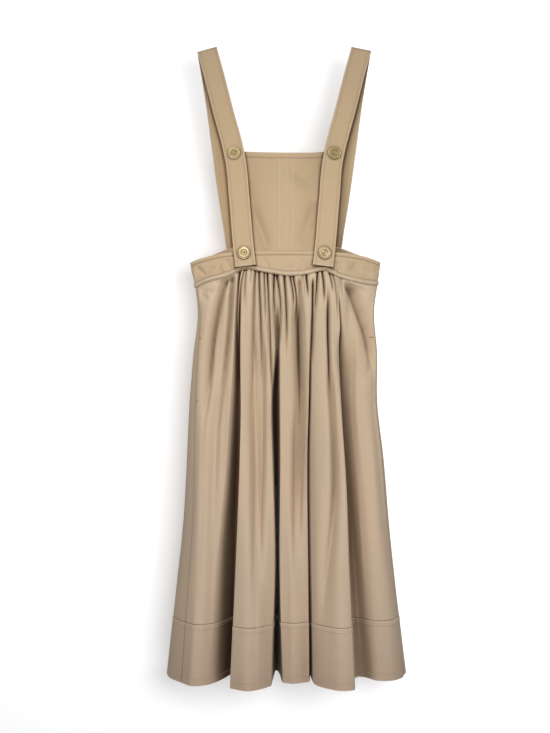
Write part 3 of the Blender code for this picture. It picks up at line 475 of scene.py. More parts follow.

# How much shade is painted into the cloth, and over what reach: in a side seam, below the waist
# seam, near the hem's foot, along rows of stitches, and as painted shadow beside and below a strap
# or a button
SIDE_SHADE = (0.60, 0.0010)
SEAM_SHADE = (0.35, 0.0016)
HEM_FOOT_SHADE = (0.14, 0.05)
HEM_SHADE = 0.03
ROW_SHADE_WIDTH = 0.0010
ABOVE_HEM_ROW = 0.12
HEM_ROW = 0.08
UNDER_HEM_ROWS, UNDER_ROWS_SHADE = 0.0085, 0.14
HEM_LOW_ROW = 0.14
BAND_ROW = 0.48
RIDGE_ROW_SHADES = (0.18, 0.55)
ABOVE_RIDGE, ABOVE_RIDGE_SHADE = 0.0010, 0.30
BIB_ROW = 0.55
STRAP_EDGE_ROW = 0.34
STRAP_SHADE = 0.72
STRAP_SHADE_ASIDE = 0.0030
STRAP_SHADE_BELOW = 0.0064
STRAP_SHADE_BEHIND = 0.0062  # reach of the front run's shade on the back run, above
STRAP_SHADE_FROM = -0.396    # this height
BIB_SHADE = 0.13           # and, more softly, on the bib next to the straps
BIB_SHADE_REACH = 0.032
BUTTON_SHADE = 0.55
BUTTON_SHADE_REACH = 0.0016
BUTTON_SHADE_LOW = 0.0007  # how far below the button its ring of shade lies
DARK_BELOW = 0.15          # of the openness of a point: below it a fold is painted wholly in shade
BRIGHT_ABOVE = 0.62        # and above it the cloth gets no painted shade


def clamp(value, low=0.0, high=1.0):
    return np.clip(value, low, high)


def ease(value):
    """A soft step from 0 to 1."""
    t = clamp(value)
    return t * t * (3 - 2 * t)


def mix(a, b, share):
    return a + (b - a) * share


def near(distance, width):
    """1 at no distance, and dying away on both sides."""
    return np.exp(-(distance / width) ** 2)


def fading(distance, share, reach):
    """A share at an edge, which dies away from it."""
    return share * np.exp(-distance / reach)


def within(place, ends, run):
    """A soft step up and down again between two ends."""
    return ease((place - ends[0]) / run) * ease((ends[1] - place) / run)


def joined(*parts):
    """Points or directions from their three parts."""
    return np.stack(np.broadcast_arrays(*parts), -1)


def unit(vectors):
    return vectors / np.linalg.norm(vectors, axis=-1, keepdims=True)


def level_out(along):
    """The level direction out of a wall that runs this way."""
    return unit(joined(along[..., 1], -along[..., 0], 0))


def groove(distance):
    """How far a row of stitches draws the cloth in, this far from it."""
    return GROOVE_DEPTH * near(distance, GROOVE_WIDTH)


def row_shade(distance, share):
    """How much shade is painted into the cloth this far from a row of stitches."""
    return share * near(distance, ROW_SHADE_WIDTH)


class Smooth:
    """A curve that runs smoothly through pairs of place and value."""

    def __init__(self, pairs):
        self.places, self.values = (np.array(row, float) for row in zip(*sorted(pairs)))
        spans = np.diff(self.places)
        rises = np.diff(self.values) / spans
        inner = (spans[1:] * rises[:-1] + spans[:-1] * rises[1:]) / (spans[:-1] + spans[1:])
        self.slopes = np.concatenate([rises[:1], inner, rises[-1:]])

    def __call__(self, place):
        place = np.clip(place, self.places[0], self.places[-1])
        i = np.clip(np.searchsorted(self.places, place) - 1, 0, len(self.places) - 2)
        span = self.places[i + 1] - self.places[i]
        t = (place - self.places[i]) / span
        start = self.values[i] * (1 + 2 * t) + self.slopes[i] * span * t
        end = self.values[i + 1] * (3 - 2 * t) - self.slopes[i + 1] * span * (1 - t)
        return start * (1 - t) ** 2 + end * t ** 2


def curves(rows, place, columns, around=0, rise=0):
    """Columns of a table as curves over one of them. around: where that starts again, with
    every value changed by rise."""
    for column in columns.split():
        pairs = sorted((getattr(row, place), getattr(row, column)) for row in rows)
        if around:
            before = [(at - around, value - rise) for at, value in pairs[-3:]]
            after = [(at + around, value + rise) for at, value in pairs[:3]]
            pairs = before + pairs + after
        yield Smooth(pairs)


TURN, = curves(RING, "gather", "turn", RING_GATHERS, -360)
ACROSS, DEPTH, FULL, START, POWER = curves(
    RING, "gather", "across depth full start power", RING_GATHERS)
TOP_EDGE, SEAM_EDGE = curves(EDGES, "turn", "top seam", 360)
LEFT_EDGE, RIGHT_EDGE = curves(OUTLINE, "fall", "left right")
FRONT_OUT, FRONT_LEAN = curves(STRAP_FRONT, "height", "out lean")
BACK_OUT, BACK_LEAN = curves(STRAP_BACK, "height", "out lean")


def in_range(turn):
    return (turn + 180.0) % 360.0 - 180.0


SEAM_TURNS = np.arange(-185.0, 185.1, BAND_STEP)
SEAM_HEIGHTS = SEAM_EDGE(in_range(SEAM_TURNS))


def top_height(turn):
    return TOP_EDGE(in_range(turn))


def seam_height(turn):
    """Height of the waist seam, straight between the solids' columns."""
    return np.interp(in_range(turn), SEAM_TURNS, SEAM_HEIGHTS)


def band_width(turn):
    return top_height(turn) - seam_height(turn)


def waist_place(turn, waist):
    """Across and depth of the flattened ring at this turn."""
    angle = np.radians(turn)
    depth = np.where(np.sin(angle) > 0, -FRONT_DEPTH, BACK_DEPTH)
    return (waist.centre + waist.half_width * np.cos(angle),
            depth * np.abs(np.sin(angle)) ** WAIST_SHARPNESS)


def waist_turn(across, waist, front=True):
    """The turn at which the ring reaches this far across."""
    turn = np.degrees(np.arccos(clamp((across - waist.centre) / waist.half_width, -1, 1)))
    return turn if front else -turn


def body_out(turn):
    """The level direction away from the body, without the folds."""
    angle = np.radians(turn)
    return unit(joined(np.cos(angle) / WAIST_SEAM.half_width, -np.sin(angle) / FRONT_DEPTH, 0))


def outline_shift(across, fall, spread):
    """What brings the evenly widening skirt to its real outline, near its sides."""
    left = mix(OUTLINE[0].left, OUTLINE[-1].left, spread)
    right = mix(OUTLINE[0].right, OUTLINE[-1].right, spread)
    edge = np.where(across < 0, left, right)
    goal = np.where(across < 0, LEFT_EDGE(fall), RIGHT_EDGE(fall))
    return (goal - edge) * ease((across / edge - OUTLINE_FROM) / (OUTLINE_TO - OUTLINE_FROM))


def deepened(gather, fall):
    """How much of its depth at the hem a fold has here."""
    start = START(gather)
    return clamp((fall - start) / (1 - start)) ** POWER(gather)


def skirt_middle(gather, fall):
    """The middle of the skirt's wall, without its small gathers."""
    waist_across, waist_depth = waist_place(TURN(gather), WAIST_SEAM)
    spread = fall ** SPREAD_POWER
    across = mix(waist_across, ACROSS(gather), spread)
    depth = mix(waist_depth, DEPTH(gather), deepened(gather, fall))
    across = across + outline_shift(across, fall, spread)
    seam = seam_height(TURN(gather)) - SEAM_GAP
    height = mix(SEAM_MEAN, HEM_HEIGHT, fall) + (seam - SEAM_MEAN) * (1 - fall) ** SEAM_POWER
    return joined(across, depth, height)


def filled_out(gather, across, fall, panel):
    """How far the folds stand out from the solids' ring between the pleats."""
    pleated = 0.0
    for pleat in panel.pleats:
        left, right = (skirt_middle(Smooth(zip(PLEAT_FALLS, edge))(fall), fall)[..., 0]
                       for edge in (pleat.left, pleat.right))
        inside = (ease(panel.way * (across - left) / mix(*pleat.left_walls, fall))
                  * ease(panel.way * (right - across) / mix(*pleat.right_walls, fall)))
        opened = pleat.share * ease((fall - pleat.top) / pleat.opens)
        pleated = np.maximum(pleated, inside * opened)
    return panel.way * (DEPTH(gather) - FULL(gather)) * deepened(gather, fall) * (1 - pleated)


def trough_depth(gather, fall):
    """How far the soft troughs press the wall in."""
    pressed = 0.0
    for trough in TROUGHS:
        share = clamp((fall - trough.top) / (trough.foot - trough.top))
        shows = ease(share / TROUGH_OPENS) * ease((1 - share) / TROUGH_FADES)
        aside = gather - mix(trough.top_gather, trough.foot_gather, share) + RING_GATHERS / 2
        aside = aside % RING_GATHERS - RING_GATHERS / 2
        pressed = pressed + trough.depth * shows * near(aside, trough.width)
    return pressed


def pressed_in(aside, soft):
    """A crease's section: 1 at its floor, round there and dying away on both sides."""
    return np.exp(-(np.sqrt(aside * aside + soft * soft) - soft))


def crease_depth(across, fall, panel):
    """How far the creases press the wall in."""
    pressed = 0.0
    for crease in panel.creases:
        path = Smooth([(crease.top, crease.at_top), (crease.middle, crease.at_middle),
                       (crease.foot, crease.at_foot)])
        aside = across - skirt_middle(path(fall), fall)[..., 0]
        if crease.opens:
            shows = ease((fall - crease.top) / crease.opens)
        else:
            shows = mix(SEAM_SHARE, 1, ease(fall / SEAM_SWELL))
            shows = shows * (1 + SEAM_PINCH * near(fall, BLOOM_FALL))
        shows = shows * ease((crease.foot - fall) / crease.fades)
        width = np.where(panel.way * aside < 0, crease.left, crease.right)
        pressed = pressed + crease.depth * shows * pressed_in(aside / width, crease.soft)
    return pressed


def mark_depth(across, height, marks):
    """How far the slight folds press a piece in."""
    pressed = 0.0
    for mark in marks:
        run, rise = mark.to_across - mark.across, mark.to_height - mark.height
        beyond, above = across - mark.across, height - mark.height
        length = math.hypot(run, rise)
        shows = within((beyond * run + above * rise) / length ** 2, (0, 1), MARK_END)
        aside = (beyond * rise - above * run) / length
        pressed = pressed + mark.depth * shows * pressed_in(aside / mark.width, MARK_SOFT)
    return pressed


def ring_waves(rows, gather, fall):
    """Slight unevenness round the skirt, nowhere quite regular."""
    angle = 2 * math.pi * gather / RING_GATHERS
    return sum(wave.size * np.sin(wave.round * angle + wave.down * fall + wave.start
                                  + UNEVEN * np.sin((wave.round // 2 + 3) * angle))
               for wave in rows)


def waves(rows, along, down, shift=0):
    """Slight unevenness of a flat piece."""
    return sum(wave.size * np.sin(wave.round * along + wave.down * down + wave.start + shift)
               for wave in rows)


def skirt_surface(gather, fall, panel):
    """The middle of the skirt's wall with all its creases, and the direction out of it."""
    middle = skirt_middle(gather, fall)
    across, height = middle[..., 0], middle[..., 2]
    bloom = (fall / BLOOM_FALL) * np.exp(1 - fall / BLOOM_FALL)
    lift = GATHER_BLOOM * within(gather, panel.gathers, GATHERS_BEGIN) * bloom
    lift = lift + filled_out(gather, across, fall, panel)
    lift = lift + ring_waves(DRIFT, gather, fall) * ease(fall / DRIFT_GROWS)
    lift = lift + ring_waves(PUCKER, gather, fall) * (
        near((fall - HEM_FALL) * DROP, HEM_SEAM_REACH)
        + near((1 - fall) * DROP - HEM_FOOT_PLACE, HEM_FOOT_REACH))
    pressed = crease_depth(across, fall, panel) + mark_depth(across, height, panel.marks)
    pressed = pressed * within(gather, panel.ends, SIDES_FLAT) + trough_depth(gather, fall)
    step = 0.02
    along = skirt_middle(gather + step, fall) - skirt_middle(gather - step, fall)
    return middle + body_out(TURN(gather)) * (lift - pressed)[..., None], level_out(along)


def rounded(thickness, *distances):
    """A wall's thickness this far from its rounded edges."""
    nearest = np.minimum.reduce(np.broadcast_arrays(*distances))
    reach = clamp(nearest / (EDGE_ROUND * thickness))
    return thickness * mix(EDGE_THIN, 1, np.sqrt(1 - (1 - reach) ** 2))


def openness(points, sight, columns=90):
    """How freely light from the front reaches each point, seen along its own row: 1 on a crest and
    near 0 at the foot of a narrow fold. It sets the shade painted into the folds."""
    free = 0.0
    for way in (1, -1):
        row = points[:, ::way]
        horizon = np.zeros(row.shape[:2])
        for step in range(1, columns):
            away = row[:, step:] - row[:, :-step]
            rise = np.sum(away * sight[:, ::way][:, :-step], axis=-1)
            run = np.sqrt(np.maximum(np.sum(away ** 2, axis=-1) - rise ** 2, 1e-8))
            horizon[:, :-step] = np.maximum(horizon[:, :-step], rise / run)
        free = free + (1 / np.sqrt(1 + horizon ** 2))[:, ::way] / 2
    return free


def linked(name, data):
    """A new object in the scene."""
    made = bpy.data.objects.new(name, data)
    bpy.context.scene.collection.objects.link(made)
    return made


def new_piece(name, points, edges, faces, finish=None):
    """A piece from its points, edges and faces."""
    mesh = bpy.data.meshes.new(name)
    mesh.from_pydata(points, edges, faces)
    if finish:
        mesh.materials.append(finish)
    mesh.shade_smooth()
    return linked(name, mesh)


def give(made, name, values, kind="FLOAT"):
    """Stores a value for each point of a piece."""
    attribute = made.data.attributes.new(name, kind, "POINT")
    field = "vector" if kind == "FLOAT_VECTOR" else "value"
    attribute.data.foreach_set(field, np.ascontiguousarray(values, np.float32).ravel())


def shell(name, outer, inner, place, worn, finish, free, painted_light_inside=1.0):
    """A closed wall from grids of outer and inner points, with its faces outwards. place: where
    each lies on the flat cloth; free: how freely light reaches it, which sets how much shade is
    painted into its colour."""
    index = np.arange(outer[..., 0].size).reshape(outer.shape[:2])
    count = index.size
    outside = np.stack([index[:-1, :-1], index[1:, :-1], index[1:, 1:], index[:-1, 1:]], -1)
    outside = outside.reshape(-1, 4)
    faces = [outside, outside[:, ::-1] + count]
    for first, last in ((index[0, 1:], index[0, :-1]), (index[-1, :-1], index[-1, 1:]),
                        (index[:-1, 0], index[1:, 0]), (index[1:, -1], index[:-1, -1])):
        faces.append(np.stack([last, first, first + count, last + count], -1))
    faces = np.concatenate(faces)
    points = np.concatenate([outer.reshape(-1, 3), inner.reshape(-1, 3)])
    a, b, c, d = (points[faces[:, i]] for i in range(4))
    if np.sum(a * np.cross(b, c)) + np.sum(a * np.cross(c, d)) < 0:
        faces = faces[:, ::-1]
    made = new_piece(name, points.tolist(), [], faces.tolist(), finish)
    give(made, "cloth", np.tile(place.reshape(-1, 3), (2, 1)), "FLOAT_VECTOR")
    give(made, "worn", np.tile(clamp(worn).reshape(-1), 2))
    # Painted shade: the share of each point's colour left unshaded, outside and inside
    give(made, "open", np.concatenate([free.reshape(-1), (painted_light_inside + 0 * free).reshape(-1)]))
    return made


def run_lengths(points):
    """Distance along each row of a grid from its first point."""
    steps = np.linalg.norm(np.diff(points, axis=1), axis=-1)
    return np.concatenate([np.zeros((len(points), 1)), np.cumsum(steps, axis=1)], axis=1)


# The skirt and its hem band

def panel_columns(panel):
    """Gather numbers of a panel's columns, close among the gathers and at its side seams."""
    (first, last), (begin, end) = panel.ends, panel.gathers
    at_seam = [0.0, 0.03, 0.07, 0.13]
    left = np.append(at_seam, np.arange(0.25, begin - first, 0.22))
    right = np.append(at_seam, np.arange(0.25, last - end, 0.22))
    return np.concatenate([first + left, np.arange(begin, end + 0.01, 0.0625),
                           last - right[::-1]])


SKIRT_FALLS = np.concatenate([
    [0.0, 0.0006, 0.0014, 0.0026, 0.0045, 0.0075, 0.011, 0.015, 0.0195],
    np.arange(0.0245, 0.10, 0.0062),
    np.arange(0.103, 0.30, 0.0090),
    np.arange(0.303, HEM_FALL - 0.006, 0.0140),
    HEM_FALL - np.array([0.0055, 0.0032, 0.0016, 0.0008])])
HEM_FALLS = np.concatenate([
    HEM_FALL + np.array([0.0, 0.3, 0.8, 1.4, 2.0, 2.6, 3.4, 4.4, 5.4, 6.0, 6.6, 7.2, 8.2, 10.0,
                         13.0]) * MM / DROP,
    HEM_FALL + np.arange(0.0190, 0.0960, 0.0066) / DROP,
    1 - np.array([14.0, 12.4, 11.6, 11.0, 10.4, 9.6, 7.5, 5.5, 3.5, 2.2, 1.4, 0.8, 0.4, 0.15,
                  0.0]) * MM / DROP])


def skirt_look(fall):
    """How much paler, how lifted and how much painted shade the skirt has below the waist seam and
    above the hem band.
    """
    below = fall * DROP
    shade = row_shade((HEM_FALL - fall) * DROP, ABOVE_HEM_ROW) + fading(below, *SEAM_SHADE)
    return fading(below, *SEAM_WEAR), 0 * fall, shade


def hem_look(fall):
    """The same for the hem band, with its proud, stitched upper edge and its turned foot."""
    top, foot = (fall - HEM_FALL) * DROP, (1 - fall) * DROP
    lift = HEM_PROUD * ease(top / HEM_EDGE_RUN)
    lift = lift * (1 - ease((top - HEM_PROUD_TO) / HEM_PROUD_RUN))
    # Painted shade: a little over the whole band, more towards its foot, and along its rows
    shade = HEM_SHADE + fading(foot, *HEM_FOOT_SHADE) + row_shade(foot - HEM_FOOT_ROW, HEM_LOW_ROW)
    for row in HEM_TOP_ROWS:
        lift = lift - groove(top - row)
        shade = shade + row_shade(top - row, HEM_ROW)
    return (fading(top, *HEM_TOP_WEAR) + fading(foot, *HEM_FOOT_WEAR),
            lift - groove(foot - HEM_FOOT_ROW),
            shade + row_shade(top - UNDER_HEM_ROWS, UNDER_ROWS_SHADE))


def cloth_panel(name, panel, falls, look, thickness, finish):
    """A panel of the skirt or its hem band at the given falls."""
    gather, fall = np.meshgrid(panel_columns(panel), falls)
    middle, out = skirt_surface(gather, fall, panel)
    worn, lift, shade = look(fall)
    along = run_lengths(middle)
    from_side = np.minimum(along, along[:, -1:] - along)
    middle = middle + out * lift[..., None]
    half = rounded(thickness, from_side, (fall - falls[0]) * DROP,
                   (falls[-1] - fall) * DROP)[..., None] / 2
    outer = middle + out * half
    # Painted shade in the folds: the lower a point's openness, the darker its colour is painted
    free = openness(outer, body_out(TURN(gather)))
    free = ease((free - DARK_BELOW) / (BRIGHT_ABOVE - DARK_BELOW))
    worn = worn + fading(from_side, *SIDE_WEAR)
    # Painted highlight: crests that light reaches are painted paler just below the waist seam
    worn = worn + CREST_PAINTED_HIGHLIGHT * free * near(fall * DROP, CREST_PAINTED_HIGHLIGHT_RUN)
    # Painted shade in the side seams, below the waist seam and along the rows
    free = free * (1 - fading(from_side, *SIDE_SHADE)) - shade
    return shell(name, outer, middle - out * half, joined(along, fall * DROP, 0), worn,
                 finish, free)


# The waistband

BAND_TOP_PLACES = np.array([0.0, 0.3, 0.8, 1.6, 2.8, 4.2, 5.4, 6.2, 7.0, 7.8, 8.8]) * MM
BAND_SHARES = np.linspace(0, 1, 16)[1:-1]
BAND_FOOT_PLACES = np.array([9.4, 8.6, 8.0, 7.5, 7.0, 6.4, 5.8, 4.8, 3.6, 2.6, 1.6, 1.0, 0.6,
                             0.25, 0.0]) * MM
BAND_TURNS = np.concatenate([
    [0.0, 0.15, 0.4], np.arange(0.8, 179.5, 0.6), [179.6, 179.85, 180.0]])


def band_places(turn):
    """Distances below the waistband's top edge, one row of them for each height."""
    top = BAND_TOP_PLACES[:, None] + 0 * turn
    foot = band_width(turn) - BAND_FOOT_PLACES[:, None]
    return np.concatenate([top, mix(top[-1], foot[0], BAND_SHARES[:, None]), foot])


def band_middle(turn, below):
    """The middle of the waistband's wall, this far below its top edge."""
    share = below / band_width(turn)
    across, depth = (mix(top, seam, share) for top, seam in zip(
        waist_place(turn, WAIST_TOP), waist_place(turn, WAIST_SEAM)))
    return joined(across, depth, top_height(turn) - below)


def band_surface(turn, below, marks):
    """The middle of the waistband with its slight folds, the direction out of it, and where
    its ridge is."""
    middle = band_middle(turn, below)
    step = 0.5
    out = level_out(band_middle(turn - step, below) - band_middle(turn + step, below))
    above = band_width(turn) - below
    soft = ease((below - BAND_WAVES_FROM) / BAND_WAVES_RUN)
    soft = soft * ease((above - RIDGE_HEIGHT) / BAND_WAVES_END)
    lift = waves(BAND_WAVES, turn, below) * soft
    lift = lift - mark_depth(middle[..., 0], middle[..., 2], marks)
    lift = lift + waves(BAND_PUCKER, turn, 0) * (
        near(below - BAND_TOP_ROW, BAND_TOP_REACH) + near(above - RIDGE_HEIGHT / 2, RIDGE_REACH))
    ridge = ease((RIDGE_HEIGHT - above) / RIDGE_RUN + 0.5)
    lift = lift * ease(below / BAND_EDGE_RUN) + RIDGE_PROUD * ridge
    lift = lift - groove(below - BAND_TOP_ROW)
    for row in RIDGE_ROWS:
        lift = lift - groove(above - row)
    return middle + out * lift[..., None], out, ridge


def waistband(name, panel, thickness, finish):
    """Half of the waistband."""
    turn = (panel.first_turn - BAND_TURNS)[None, :]
    below = band_places(turn)
    turn = turn + 0 * below
    middle, out, ridge = band_surface(turn, below, panel.band_marks)
    along = run_lengths(middle)
    above = band_width(turn) - below
    half = rounded(thickness, along, along[:, -1:] - along, below, above)[..., None] / 2
    inner = middle - out * half - out * (RIDGE_PROUD * ridge)[..., None]
    worn = fading(below, *BAND_TOP_WEAR) + fading(above, *BAND_FOOT_WEAR) + RIDGE_WEAR * ridge
    # Painted shade along the rows and above the ridge, and painted shadow below the straps' ends
    shade = row_shade(below - BAND_TOP_ROW, BAND_ROW)
    for row, share in zip(RIDGE_ROWS, RIDGE_ROW_SHADES):
        shade = shade + row_shade(above - row, share)
    shade = shade + row_shade(above - RIDGE_HEIGHT - ABOVE_RIDGE, ABOVE_RIDGE_SHADE)
    if panel is FRONT:
        shade = shade + painted_strap_shadow(middle[..., 0], middle[..., 2])
    return shell(name, middle + out * half, inner, joined(along, below, 0), worn, finish,
                 1 - shade)


def painted_strap_shadow(across, height):
    """How much shadow is painted into the cloth in front beside and below both straps."""
    shade = 0.0
    lean = np.radians(FRONT_LEAN(height))
    for _, side in SIDES:
        aside = (side * (across - STRAP_CENTRE) - FRONT_OUT(height)) * np.cos(lean)
        below = STRAP_END - aside * np.sin(lean) - height
        away = np.hypot(np.maximum(np.abs(aside) - STRAP_HALF, 0) / STRAP_SHADE_ASIDE,
                        np.maximum(below, 0) / STRAP_SHADE_BELOW)
        shade = np.maximum(shade, STRAP_SHADE * near(away, 1))
    return shade


# The bib

def bib_depth(across, height):
    """Depth of the middle of the bib, or of the waistband below its top edge."""
    turn = waist_turn(across, WAIST_TOP)
    foot = top_height(turn)
    top = waist_place(turn, WAIST_TOP)[1]
    seam = waist_place(waist_turn(across, WAIST_SEAM), WAIST_SEAM)[1]
    low = mix(top, seam, clamp((foot - height) / (foot - seam_height(turn))))
    crown = BIB_CROWN * (1 - ((across - BIB_CENTRE) / BIB_TOP_HALF) ** 2)
    high = mix(top, -BIB_TOP_DEPTH - crown, clamp((height - foot) / (BIB_TOP - foot)))
    return np.where(height < foot, low, high)


BIB_RISES = np.concatenate([
    [0.0, 0.0015, 0.004, 0.008], np.linspace(0.016, 0.925, 66),
    [0.934, 0.941, 0.946, 0.9495, 0.953, 0.957, 0.964, 0.973, 0.982, 0.989, 0.9945, 0.998, 1.0]])
BIB_SHARES = np.concatenate([[0.0, 0.004, 0.011], np.linspace(0.022, 0.975, 44),
                             [0.988, 0.995, 1.0]])
FORWARD = np.array([0.0, -1.0, 0.0])


def bib_surface(side, out_share, rise):
    """The middle of the bib's cloth, its distance from the centre seam, the bib's half width
    at its height and its distance below the top edge."""
    half = mix(BIB_FOOT_HALF, BIB_TOP_HALF, rise)
    out = mix(SEAM_GAP / 4, half, out_share)
    across = BIB_CENTRE + side * out
    foot = top_height(waist_turn(across, WAIST_TOP)) + SEAM_GAP
    top = BIB_TOP - BIB_SAG * (1 - (out / half) ** 2)
    height = mix(foot, top, rise)
    below = top - height
    press = mark_depth(across, height, BIB_MARKS) * ease((height - foot) / BIB_FOOT_RUN)
    press = press - waves(BIB_WAVES, across, height) * ease(below / BIB_TOP_RUN)
    press = press + groove(below - BIB_HEM)
    press = press + waves(BIB_PUCKER, across, 0) * near(below - BIB_HEM, BIB_HEM_REACH)
    press = press + groove(out - BIB_ROW_ASIDE) * ease(below / BIB_HEM)
    return joined(across, bib_depth(across, height) + press, height), out, half, below


def bib_half(name, side, thickness, finish):
    """Half of the bib, from the centre seam to its side edge under the strap."""
    out_share, rise = np.meshgrid(BIB_SHARES, BIB_RISES[::-1])
    middle, out, half, below = bib_surface(side, out_share, rise)
    across, height = middle[..., 0], middle[..., 2]
    fold = BIB_FOLD * ease((BIB_HEM + BIB_FOLD_RUN - below) / BIB_FOLD_RUN)
    edge = rounded(thickness, half - out, below, out + BIB_CENTRE_ROUND) / 2
    outer = middle + FORWARD * edge[..., None]
    inner = middle - FORWARD * (edge + fold * edge / thickness * 2)[..., None]
    worn = fading(below, *BIB_TOP_WEAR) + fading(out, *BIB_CENTRE_WEAR)
    # Painted shade along the top row, painted shadow beside and below the straps, and a softer
    # painted shade on the bib next to them
    free = 1 - row_shade(below - BIB_HEM, BIB_ROW) - painted_strap_shadow(across, height)
    from_strap = FRONT_OUT(height) - STRAP_HALF - np.abs(across - STRAP_CENTRE)
    free = free - BIB_SHADE * near(np.maximum(from_strap, 0), BIB_SHADE_REACH)
    grids = (outer, inner, joined(side * out, below, 0), worn, free)
    outer, inner, place, worn, free = (grid[:, ::side] for grid in grids)
    return shell(name, outer, inner, place, worn, finish, free)


# The straps

def front_strap_point(side, height, aside):
    """A point of the strap's middle in front; aside runs from its inner to its outer edge."""
    lean = np.radians(FRONT_LEAN(height))
    across = STRAP_CENTRE + side * (FRONT_OUT(height) + aside * np.cos(lean))
    level = height - aside * np.sin(lean)
    lifted = ease(1 - (height - STRAP_END) / STRAP_END_LIFT_RUN)
    lift = STRAP_END_LIFT * lifted * (1 - STRAP_END_TILT * aside / STRAP_HALF)
    on_bib = bib_depth(across, np.minimum(level, BIB_TOP)) - STRAP_CLEAR - lift
    free = clamp((level - BIB_TOP) / (FOLD_CENTRE - BIB_TOP))
    return joined(across, mix(on_bib, -STRAP_FOLD_RADIUS, free), level)


def back_strap_point(side, height, aside):
    """A point of the strap's middle behind; its foot follows the waistband's edge."""
    lean = np.radians(BACK_LEAN(height))
    across = STRAP_CENTRE + side * (BACK_OUT(height) + aside * np.cos(lean))
    turn = waist_turn(across, WAIST_TOP, front=False)
    foot = top_height(turn) + SEAM_GAP
    settle = ease((STRAP_BACK_FOOT + STRAP_SETTLE - height) / STRAP_SETTLE)
    level = np.maximum(mix(height - aside * np.sin(lean), foot, settle * settle), foot)
    level = np.where(height <= STRAP_BACK_FOOT, foot, level)
    share = clamp((FOLD_CENTRE - level) / (FOLD_CENTRE - foot))
    return joined(across, mix(STRAP_FOLD_RADIUS, waist_place(turn, WAIST_TOP)[1], share), level)


def fold_point(side, angle, aside):
    """A point of the strap's middle where it turns over the shoulder line."""
    lean = np.radians(mix(FRONT_LEAN(0), BACK_LEAN(0), angle / math.pi))
    rise = STRAP_FOLD_RADIUS * np.sin(angle)
    across = FRONT_OUT(FOLD_CENTRE) + aside * np.cos(lean) + rise * np.sin(lean)
    level = FOLD_CENTRE - aside * np.sin(lean) + rise * np.cos(lean)
    return joined(STRAP_CENTRE + side * across, -STRAP_FOLD_RADIUS * np.cos(angle), level)


FRONT_HEIGHTS = np.sort(np.concatenate([
    STRAP_END + np.array([0.0, 0.00025, 0.0007, 0.0014, 0.0024]),
    np.arange(STRAP_END + 0.0042, FOLD_CENTRE - 0.001, 0.0032),
    *(np.arange(place.height - 0.0155, place.height + 0.0156, 0.0010) for place in BUTTONS)]))
FRONT_HEIGHTS = FRONT_HEIGHTS[np.append(True, np.diff(FRONT_HEIGHTS) > 0.0002)]
BACK_HEIGHTS = np.append(np.arange(FOLD_CENTRE - 0.003, STRAP_BACK_FOOT + 0.001, -0.0030),
                         STRAP_BACK_FOOT)
FOLD_ANGLES = np.linspace(0, math.pi, 14)
STRAP_ASIDES = STRAP_HALF - np.array([0.0, 0.15, 0.45, 0.9, 1.6, 2.8, 4.0, 4.6, 5.0, 5.4, 6.0,
                                      7.4]) * MM
STRAP_ASIDES = np.concatenate([-STRAP_ASIDES, np.linspace(-0.0111, 0.0111, 21),
                               STRAP_ASIDES[::-1]])


def strap_surface(side, asides):
    """The strap's middle from its free end in front to the back waistband, the direction out
    of it, its run length and the distance from its nearer edge."""
    grid = np.concatenate([
        point(side, places[:, None], asides[None, :]) for point, places in (
            (front_strap_point, FRONT_HEIGHTS), (fold_point, FOLD_ANGLES),
            (back_strap_point, BACK_HEIGHTS))])
    steps = np.linalg.norm(np.diff(grid, axis=0), axis=-1).mean(axis=1)
    run = np.append(0, np.cumsum(steps))[:, None] + 0 * asides
    out = unit(np.cross(np.gradient(grid, axis=0), np.gradient(grid, axis=1)) * -side)
    lift = waves(STRAP_WAVES, run, asides * side, SIDE_SHIFT * (side > 0))
    lift = lift * ease((run - STRAP_WAVES_FROM) / STRAP_WAVES_RUN)
    lift = lift * ease((run[-1, 0] - run) / STRAP_WAVES_END)
    edge = STRAP_HALF - np.abs(asides) + 0 * run
    lift = lift + waves(STRAP_PUCKER, run, side) * np.exp(-edge / STRAP_EDGE_REACH)
    return grid + out * lift[..., None], out, run, edge


def strap_thick(edge, run, thickness):
    """A strap's thickness, drawn in along both rows of stitches."""
    thick = rounded(thickness, edge, run, run[-1, 0] - run)
    return thick - groove(edge - STRAP_ROW) * STRAP_GROOVE


def strap(name, side, thickness, finish):
    """A strap, from its free end in front, over the shoulder and down to the back."""
    middle, out, run, edge = strap_surface(side, STRAP_ASIDES)
    across, depth, height = (middle[..., i] for i in range(3))
    half = strap_thick(edge, run, thickness)[..., None] / 2
    worn = fading(edge, *STRAP_SIDE_WEAR) + fading(run, *STRAP_END_WEAR)
    # Painted shadow that the front run casts on the inside of the back run, beside its outer edge
    beyond = side * (across - STRAP_CENTRE) - FRONT_OUT(height) - STRAP_HALF
    shade = STRAP_SHADE * np.exp(-(np.maximum(beyond, 0) / STRAP_SHADE_BEHIND) ** 4)
    shade = np.where((depth > 0) & (height > STRAP_SHADE_FROM), shade, 0)
    # Painted shade along both rows, and a ring of painted shadow just below each button
    free = 1 - row_shade(edge - STRAP_ROW, STRAP_EDGE_ROW)
    for place in BUTTONS:
        centre = front_strap_point(side, np.array(place.height), np.array(0.0))
        away = np.hypot(across - centre[0], height - centre[2] + BUTTON_SHADE_LOW)
        ring = np.maximum(away - BUTTON_OUTLINE[3].radius, 0)
        free = free - BUTTON_SHADE * near(ring, BUTTON_SHADE_REACH) * (depth < 0)
    return shell(name, middle + out * half, middle - out * half,
                 joined(STRAP_ASIDES + 0 * run, run, 0), worn, finish, free, 1 - shade)


